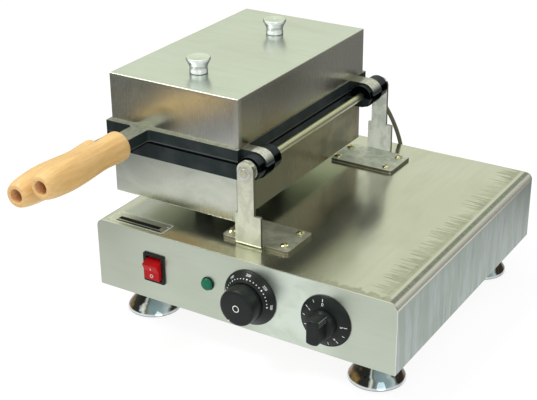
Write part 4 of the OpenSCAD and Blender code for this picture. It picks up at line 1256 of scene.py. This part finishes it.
def foot_thread():
    r, depth, pitch, seg = 4.95, 0.55, 1.5, 24
    low, high = -9.0, 21.9
    rows = int((high - low) / pitch * seg)
    verts, faces = [], []
    for k in range(rows + 1):
        a = 2 * math.pi * k / seg
        h = low + pitch * k / seg
        for radius, z in ((r - depth, h - pitch / 2), (r, h)):
            verts.append((radius * math.cos(a), radius * math.sin(a), min(max(z, low), high)))
    for k in range(rows):
        faces.append((2 * k, 2 * k + 2, 2 * k + 3, 2 * k + 1))
    for k in range(rows - seg):
        above = 2 * (k + seg)
        faces.append((2 * k + 1, 2 * k + 3, above + 2, above))
    return verts, faces


def foot_hexagon():
    r, low, high = 8.5, -8.2, -4.05
    turns = [math.pi / 3 * k for k in range(6)]
    verts = [(r * math.cos(a), r * math.sin(a), h) for h in (low, high) for a in turns]
    faces = [(0, 1, 2, 3, 4, 5), (6, 7, 8, 9, 10, 11)]
    faces += [(k, (k + 1) % 6, 6 + (k + 1) % 6, 6 + k) for k in range(6)]
    return verts, faces


def foot(node):
    box = Box(node)
    origin = (box.mid[0], box.mid[1], -BASE_H)
    make(node + "_bell", placed(foot_bell(box.radius), origin), ["polished_chrome"], sharp=45,
         body=node, slot="chrome", replaces=node)
    make(node + "_thread", placed(foot_thread(), origin), ["bright_zinc"],
         body=node, slot="chrome")
    o = make(node + "_hex", placed(foot_hexagon(), origin), ["bright_zinc"], smooth=False)
    with edited(o.data) as bm:
        bmesh.ops.remove_doubles(bm, verts=bm.verts, dist=1e-6)
        bmesh.ops.dissolve_limit(bm, angle_limit=math.radians(1.0), verts=bm.verts,
                                 edges=bm.edges)
        bevel_sharp(bm, 0.5)
    register(o, node, "chrome")


for place in ("front", "rear"):
    for side in ("left", "right"):
        foot(f"foot_{place}_{side}")

# ------------------------------------------------------------------ switch and lamp
SWITCH = Box("switch_housing")
ROCKER_TILT = math.radians(11.0)
ROCKER_PIVOT_Y = 4
# the rocker's face stands this far out at its middle, and rises over half its height
ROCKER_OUT, ROCKER_RISE, ROCKER_HALF = 10.3, 1.9, 9.0


def on_rocker(mesh, height):
    """puts a flat mark on the rocker, at a height from the pivot before the tilt"""
    lean = math.atan2(ROCKER_RISE, ROCKER_HALF) * (-1 if height > 0 else 1)
    out = -ROCKER_OUT - ROCKER_RISE * abs(height) / ROCKER_HALF - 0.02
    verts = []
    for u, v, w in mesh[0]:
        # face axes: u along x, v up the face, w out of it
        y = out + v * math.sin(lean) - w * math.cos(lean)
        z = height + v * math.cos(lean) + w * math.sin(lean)
        verts.append((SWITCH.mid[0] + u,
                      ROCKER_PIVOT_Y + y * math.cos(ROCKER_TILT) - z * math.sin(ROCKER_TILT),
                      SWITCH.mid[2] + y * math.sin(ROCKER_TILT) + z * math.cos(ROCKER_TILT)))
    return verts, mesh[1]


def panel_lathe(name, profile, seg, box, finish, sharp, body="base", closed=False,
                slot="black_plastic", replaces=None):
    """a turned part standing out of the front panel; profile of (radius, distance out)"""
    mesh = placed(lathe(profile, seg, closed), (box.mid[0], 0, box.mid[2]), "-y")
    make(name, mesh, [finish], sharp=sharp, body=body, slot=slot, replaces=replaces)


def switch():
    cad_piece("switch_housing", "switch_frame", ["moulded_black"], "base", "black_plastic",
              bevel=0.5, segments=3)
    cad_piece("switch_rocker", "rocker_cap", ["red_rocker"], "switch_rocker", "red_plastic",
              bevel=0.55, segments=3, angle=8)
    marks = [on_rocker(slab(0.8, 3.4), 3.9), on_rocker(flat_ring(1.35, 2.1), -4.6)]
    make("rocker_marks", join(marks), ["rocker_print"], smooth=False, body="switch_rocker",
         slot="red_plastic")


def lamp():
    box = Box("pilot_lamp_lens")
    lens = round_corners([(0, 0.8), (6.55, 0.8), (6.6, 2.6), (6.2, 3.6), (5.2, 4.2),
                          (2.0, 4.5), (0, 4.55)], 0.7, 3)
    panel_lathe("lamp_lens", lens, 64, box, "green_lens", sharp=60, slot="green_lens",
                replaces="pilot_lamp_lens")
    rim = round_corners([(6.45, 0.0), (7.1, 0.0), (7.3, 0.4), (7.2, 1.0), (7.0, 1.3),
                         (6.75, 1.3), (6.5, 1.0)], 0.25, 3)
    panel_lathe("lamp_rim", rim, 64, box, "moulded_black", sharp=50, closed=True)


switch()
lamp()

# ------------------------------------------------------------------ dials
SHAFT_R, SHAFT_BACK = 2.9, -9.9
SCALE_BORE = 5.4
MARK_SINK = 0.02


def on_dial(mesh, box, angle, radius, height, slope=0.0):
    """puts a flat mark on a front dial; angle is clockwise from the top, height the distance
    out of the panel, slope how far the dial falls away outwards, both angles in degrees"""
    angle, slope = math.radians(angle), math.radians(slope)
    radial = Vector((math.sin(angle), 0, math.cos(angle)))
    tangent = Vector((math.cos(angle), 0, -math.sin(angle)))
    out = Vector((0, -1, 0))
    up = radial * math.cos(slope) - out * math.sin(slope)
    normal = radial * math.sin(slope) + out * math.cos(slope)
    origin = Vector((box.mid[0], 0, box.mid[2])) + radial * radius + out * height
    return [tuple(origin + tangent * x + up * y + normal * z) for x, y, z in mesh[0]], mesh[1]


def print_marks(name, parts, body="base"):
    make(name, join(parts), ["white_print"], smooth=False, body=body, slot="black_plastic")


def knob_shaft(name, box, end, body):
    profile = [(0, SHAFT_BACK), (SHAFT_R, SHAFT_BACK), (SHAFT_R, end), (0, end)]
    panel_lathe(name, profile, 40, box, "bright_zinc", sharp=40, body=body)


def thermostat():
    """a dished scale ring and a plain round knob"""
    dial, knob = Box("thermostat_dial"), Box("thermostat_knob")
    dial_r, knob_r = dial.radius, knob.radius
    knob_h = -knob.low[1]
    inner_r, inner_h = knob_r + 1.2, 9.6
    rim_r, rim_h = dial_r - 0.6, 2.2
    scale = [(SCALE_BORE, 0.0), (dial_r - 0.1, 0.0), (dial_r, 0.3), (dial_r, 1.3),
             (dial_r - 0.2, 1.8), (rim_r, rim_h),
             ((rim_r + inner_r) / 2, (rim_h + inner_h) / 2 - 0.12), (inner_r, inner_h),
             (inner_r - 0.5, 9.95), (inner_r - 1.1, 9.95), (inner_r - 1.3, 9.4),
             (SCALE_BORE, 9.4)]
    panel_lathe("thermostat_scale", scale, 128, dial, "dial_black", sharp=40, closed=True,
                replaces="thermostat_dial")
    slope = math.degrees(math.atan2(inner_h - rim_h, rim_r - inner_r))

    def on_scale(mesh, step, radius):
        """steps of 10 degrees of heat, counted from 200"""
        height = rim_h + (rim_r - radius) / (rim_r - inner_r) * (inner_h - rim_h)
        return on_dial(mesh, dial, 2 + 9.1 * step, radius, height - MARK_SINK, slope)

    marks = [on_scale(disc(0.78 if step % 5 == 0 else 0.56), step, 23.6)
             for step in range(-16, 11)]
    marks += [on_scale(digits(str(200 + 10 * step), 3.7), step, 26.7)
              for step in range(10, -16, -5)]
    print_marks("thermostat_marks", marks)
    cap = [(0, 10.5), (knob_r - 1.4, 10.5), (knob_r - 0.5, 10.6), (knob_r, 11.3),
           (knob_r - 0.15, 16), (knob_r - 0.45, knob_h - 3.0), (knob_r - 0.75, knob_h - 1.7),
           (knob_r - 1.5, knob_h - 0.7), (knob_r - 2.8, knob_h - 0.25),
           (knob_r - 6, knob_h - 0.1), (0, knob_h)]
    panel_lathe("thermostat_cap", cap, 128, dial, "dial_black", sharp=42,
                body="thermostat_knob", replaces="thermostat_knob")
    knob_shaft("thermostat_shaft", dial, 10.6, "thermostat_knob")
    print_marks("thermostat_pointer", [
        on_dial(flat_ring(2.9, 3.7, thick=0.1), dial, 0, 0, knob_h - 0.04),
        on_dial(slab(0.9, 2.2, thick=0.14), dial, -151, knob_r - 2.2, knob_h - 0.30, slope=8),
    ], body="thermostat_knob")


def timer():
    """a nearly flat scale ring, a drum and a grip bar"""
    dial = Box("timer_dial")
    dial_r = dial.radius
    knob_h = -Box("timer_knob").low[1]
    rim_r, rim_h = dial_r - 1.7, 2.35
    inner_r, inner_h = 15.6, 4.95
    scale = [(SCALE_BORE, 0.0), (dial_r - 0.1, 0.0), (dial_r, 0.3), (dial_r, 1.2),
             (dial_r - 0.3, 1.75), (dial_r - 0.9, 2.0), (dial_r - 1.3, 1.9), (rim_r, rim_h),
             (inner_r, inner_h), (SCALE_BORE, inner_h)]
    panel_lathe("timer_scale", scale, 128, dial, "dial_black", sharp=40, closed=True,
                replaces="timer_dial")
    slope = math.degrees(math.atan2(inner_h - rim_h, rim_r - inner_r))

    def on_scale(mesh, step, radius):
        """half units, counted anticlockwise from near the top"""
        height = rim_h + (rim_r - radius) / (rim_r - inner_r) * (inner_h - rim_h)
        return on_dial(mesh, dial, -6.0 - 26.4 * step, radius, height - MARK_SINK, slope)

    marks = []
    for step in range(11):
        whole = step % 2 == 0
        marks.append(on_scale(slab(0.62 if whole else 0.5, 2.9), step, 22.9))
        if whole:
            marks.append(on_scale(digits(str(step // 2), 4.6), step, 18.9))
    print_marks("timer_marks", marks)
    drum = [(0, 5.85), (13.9, 5.85), (14.4, 6.2), (14.5, 7.0), (14.0, 11.0), (13.6, 11.9),
            (12.6, 12.5), (0, 12.9)]
    panel_lathe("timer_drum", drum, 112, dial, "dial_black", sharp=42, body="timer_knob",
                replaces="timer_knob")
    knob_shaft("timer_shaft", dial, 3.4, "timer_knob")
    timer_bar(dial, knob_h)


def timer_bar(dial, knob_h):
    """rounded bar standing far out, with three small ribs on its right shoulder"""
    half_w, half_l, foot_h = 6.9, 13.6, 8
    # the ends follow a circle
    end_r = 14.1

    def taper(h):
        return (h - foot_h) / (knob_h - foot_h)

    verts, faces, _ = rounded_box((-half_w, -half_l, foot_h), (half_w, half_l, knob_h - 0.05),
                                  1.5, (14, 26, 6))
    shaped = []
    for x, y, h in verts:
        x *= 1 - 0.07 * taper(h)
        if abs(y) > 6:
            limit = math.sqrt(max(end_r ** 2 - x * x, 1)) * (1 - 0.06 * taper(h))
            y = y / half_l * min(half_l, limit)
        if h > knob_h - 0.4:
            # a shallow notch at the upper end shows where the knob points
            across = 1 + math.exp((abs(x + 1.2) - 1.0) * 5)
            h -= 0.8 / across / (1 + math.exp((10.2 - y) * 3))
        shaped.append((dial.mid[0] + x, -h, dial.mid[2] + y))
    make("timer_bar", (shaped, faces), ["dial_black"], sharp=60, body="timer_knob",
         slot="black_plastic")
    ribs = []
    for rib_y in (11.6, 9.3, 7.0):
        verts, faces, _ = rounded_box((5.9, rib_y - 0.45, 10.0), (7.25, rib_y + 0.45, 25.5),
                                      0.3, (2, 2, 8), arc=2)
        ribs.append(([(dial.mid[0] + x * (1 - 0.07 * taper(h)), -h, dial.mid[2] + y)
                      for x, y, h in verts], faces))
    # the ribs' lighter grey is a painted highlight
    make("timer_ribs", join(ribs), ["rib_highlight_grey"], sharp=60, body="timer_knob",
         slot="black_plastic")


thermostat()
timer()

# ------------------------------------------------------------------ leads
GLAND = Box("lower_gland")
GLAND_R = 6.5
GLAND_Y = GLAND.high[1]
GLAND_Z = GLAND.mid[2]
UPPER_GLAND_Z = Box("upper_gland").mid[2]
# the jumper enters the left gland, the lead from the base the right one
JUMPER_X, LEAD_X = sorted((GLAND.low[0] + GLAND_R, GLAND.high[0] - GLAND_R))


def lead(name, points, node, start, end):
    o = make(name, tube(points), ["braided_sleeve"], sharp=60)
    tuple(to_frame(*start))
    tuple(to_frame(*end))
    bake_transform(o)
    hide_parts(node)


def lower_lead():
    """from the bushing in the rear panel, up and over to the lower mould"""
    bush_x, _, bush_z = Box("lead_bushing").mid
    back = Box("lower_lead").high[1] - 2.69
    points = [
        (bush_x, BASE_D - 8, bush_z), (bush_x, BASE_D - 2, bush_z), (bush_x, BASE_D + 4, bush_z),
        (bush_x - 0.1, back - 0.6, bush_z + 4), (bush_x - 0.4, back, bush_z + 13),
        (bush_x - 1.2, back - 4, 4), (bush_x - 2.2, back - 14, 23),
        (ROD_X + 9.2, 320.2, 44), (ROD_X + 3.4, 317.4, 54.5), (ROD_X - 5.4, 316.4, 59.6),
        (ROD_X - 18, 317.4, 56.2), (LEAD_X + 3.6, 317.0, 49.5),
        (LEAD_X + 0.2, 313.0, GLAND_Z + 0.6), (LEAD_X, GLAND_Y - 2.5, GLAND_Z),
    ]
    lead("lower_lead_sleeve", points, "lower_lead",
         start=(ROD_X + 9.2, 320, 44), end=(LEAD_X, GLAND_Y, GLAND_Z))


def jumper_lead():
    """a loop behind the moulds, from the lower to the upper"""
    # distance behind the gland, distance in from the gland's height
    half = [(-2.5, 0), (5, 0), (17, 4.5), (25.5, 16)]
    points = [(JUMPER_X, GLAND_Y + back, GLAND_Z + rise) for back, rise in half]
    points.append((JUMPER_X, GLAND_Y + 28, ROD_Z))
    points += [(JUMPER_X, GLAND_Y + back, UPPER_GLAND_Z - drop) for back, drop in half[::-1]]
    lead("jumper_sleeve", points, "jumper_lead",
         start=(JUMPER_X, GLAND_Y, GLAND_Z), end=(JUMPER_X, GLAND_Y, UPPER_GLAND_Z))


lower_lead()
jumper_lead()
for node, name, finish, body, slot, bevel in (
        ("power_inlet", "inlet_socket", "moulded_black", "base", "black_plastic", 0.35),
        ("lower_gland", "lower_gland_pair", "black_rubber", "lower_mould", "rubber", 0.6),
        ("upper_gland", "upper_gland_bush", "black_rubber", "upper_mould", "rubber", 0.6),
        ("lead_bushing", "lead_grommet", "black_rubber", "base", "rubber", 0.6)):
    cad_piece(node, name, [finish], body, slot, bevel)

# ------------------------------------------------------------------ finishes of the CAD nodes
# nodes that stay as they are, by finish
KEPT = {
    "inner_sheet": "bottom_plate",
    "bright_zinc": "bottom_screws stand_nuts inlet_screws foot_nuts lower_studs "
                   "lower_handle_rod upper_studs upper_handle_rod",
    "moulded_black": "pilot_lamp_body",
    "cream_moulding": "thermostat_body timer_body terminal_block",
    "silicone_wire": "inner_wiring",
    "oxidised_heater": "lower_heater upper_heater",
    "mineral_wool": "lower_insulation upper_insulation",
    "drawn_copper": "thermostat_bulb",
    "black_rubber": "pad_front_left pad_front_right pad_rear_left pad_rear_right",
}
# nodes that a piece stands in for keep a matching finish too
REPLACED = {
    "base_top_steel": "base_shell",
    "panel_steel": "front_panel rear_panel",
    "blank_plate": "nameplate",
    "stand_steel": "stand_front stand_rear",
    "yellow_passivate": "stand_screws",
    "ground_rod": "hinge_rod",
    "bright_zinc": "hinge_nuts hinge_washers",
    "moulded_black": "switch_housing power_inlet",
    "red_rocker": "switch_rocker",
    "green_lens": "pilot_lamp_lens",
    "dial_black": "thermostat_dial thermostat_knob timer_dial timer_knob",
    "black_rubber": "lead_bushing lower_gland upper_gland",
    "braided_sleeve": "lower_lead jumper_lead",
    "cast_plate_lower": "lower_plate",
    "cast_plate_upper": "upper_plate",
    "cover_steel_sides": "lower_cover upper_cover",
    "turned_aluminium": "lower_feet upper_knobs",
    "turned_beech": "lower_handle upper_handle",
    "polished_chrome": "foot_front_left foot_front_right foot_rear_left foot_rear_right",
}
for table in (KEPT, REPLACED):
    for finish, names in table.items():
        for node in names.split():
            dress(NODES[node].data, [finish])
            if table is KEPT:
                edges = NODES[node].modifiers.new("edges", "BEVEL")
                edges.width = 0.0003
                edges.segments = 2
                edges.limit_method = "ANGLE"
                edges.angle_limit = math.radians(35)

# ------------------------------------------------------------------ stage (metres)
WHITE = (1.0, 1.0, 1.0)


def pale_floor():
    m = Material("pale_floor")
    m.tree.nodes.remove(m.shader)
    diffuse = m.wire(0, "ShaderNodeBsdfDiffuse", {"Color": (0.86, 0.86, 0.86)})
    seen = m.mix_shader(0.80, diffuse, m.light("Emission", WHITE, 1.08))
    # what the polished parts see of the floor: pale close by, falling off further out
    x, y, _ = m.xyz(m.wire("Position", "ShaderNodeNewGeometry"))
    across = x / 0.42
    along = (y + 0.02) / 0.52
    distance = (across * across + along * along).root()
    strength = distance.fade(0.75, 1.35, low=0.92, high=0.16)
    mirrored = m.light("Emission", m.mix(1.0, WHITE, WHITE), strength)
    glossy = m.wire("Is Glossy Ray", "ShaderNodeLightPath")
    surface = m.mix_shader(glossy, seen, mirrored)
    m.feed(m.tree.nodes["Material Output"].inputs["Surface"], surface)


def build_floor(half=6.0):
    pale_floor()
    data = bpy.data.meshes.new("floor")
    corners = [(-half, -half, 0), (half, -half, 0), (half, half, 0), (-half, half, 0)]
    data.from_pydata(corners, [], [(0, 1, 2, 3)])
    return add_object("floor", data, ["pale_floor"])


def build_world():
    """polished parts see a room of soft bands, the camera sees white"""
    world = bpy.data.worlds.new("studio")
    bpy.context.scene.world = world
    world.use_nodes = True
    world.node_tree.nodes.clear()
    w = Graph(world.node_tree)
    x, y, z = w.xyz(w.wire("Generated", "ShaderNodeTexCoord"))
    level = (x * x + (y * y + 1e-5)).root()
    level_x, level_y = x / level, y / level

    def toward(dx, dy, start, end):
        """fades in as the direction, seen from above, nears (dx, dy)"""
        n = math.hypot(dx, dy)
        return (level_x * (dx / n) + level_y * (dy / n)).fade(start, end)

    high = z.fade(0.62, 0.85)
    # a light wall to the back and a weaker one to the front left
    side = 0.42 + toward(-0.35, 0.94, 0.35, 0.92) * 0.42
    side = side + toward(-0.7, -0.7, 0.2, 0.9) * 0.25
    # a narrow dark strip at the back, and a low dark patch at the back right
    side = side * (1.0 - toward(0.20, 0.98, 0.975, 0.997) * 0.55)
    near_floor = toward(0.62, 0.78, 0.85, 0.97) * z.fade(0.36, 0.22)
    side = side * (1.0 - near_floor * 0.70)
    side = side * z.fade(0.0, 0.35, low=0.75)
    ceiling = 0.72 + toward(-0.6, 0.4, -0.5, 1.0) * 0.55
    room = side * (1.0 - high) + ceiling * high

    rays = w.add("ShaderNodeLightPath").outputs
    mirrored = w.light("Background", (0.955, 1.0, 0.83), room)
    diffuse = w.light("Background", WHITE, z.fade(-0.1, 0.9, low=0.35, high=0.85))
    backdrop = w.light("Background", WHITE, 1.0)
    lit = w.mix_shader(Wire(w, rays["Is Glossy Ray"]), diffuse, mirrored)
    surface = w.mix_shader(Wire(w, rays["Is Camera Ray"]), lit, backdrop)
    w.add("ShaderNodeOutputWorld", {"Surface": surface})


def area_light(name, location, target, size, power):
    light = bpy.data.lights.new(name, "AREA")
    light.shape = "DISK"
    light.size = size
    light.energy = power
    o = add_object(name, light)
    o.location = location
    aim = Vector(target) - Vector(location)
    o.rotation_euler = aim.to_track_quat("-Z", "Y").to_euler()
    return o


def build_camera():
    """three-quarter view from the front right, looking down"""
    data = bpy.data.cameras.new("camera")
    data.sensor_width = 36
    data.lens = 82.36
    data.clip_end = 50
    camera = add_object("camera", data)
    yaw, pitch, roll = (math.radians(a) for a in (31.966, -25.547, -0.556))
    right = Vector((math.cos(yaw), math.sin(yaw), 0))
    level = Vector((-math.sin(yaw), math.cos(yaw), 0))
    vertical = Vector((0, 0, 1))
    forward = level * math.cos(pitch) + vertical * math.sin(pitch)
    up = -level * math.sin(pitch) + vertical * math.cos(pitch)
    rolled_right = right * math.cos(roll) + up * math.sin(roll)
    rolled_up = -right * math.sin(roll) + up * math.cos(roll)
    matrix = Matrix((rolled_right, rolled_up, -forward)).transposed().to_4x4()
    matrix.translation = to_frame(763.27, -883.10, 570.45)
    camera.matrix_world = matrix
    bpy.context.scene.camera = camera


floor = build_floor()
build_world()
key = area_light("key_light", (-0.9, -0.75, 1.9), target=(0, 0, 0.15), size=0.9, power=26)
fill = area_light("fill_light", (1.5, -1.4, 1.1), target=(0, 0, 0.12), size=1.2, power=9)
build_camera()
view = bpy.context.scene.view_settings
view.view_transform = "Standard"
view.look = "None"
view.exposure = 0.0
view.gamma = 1.0
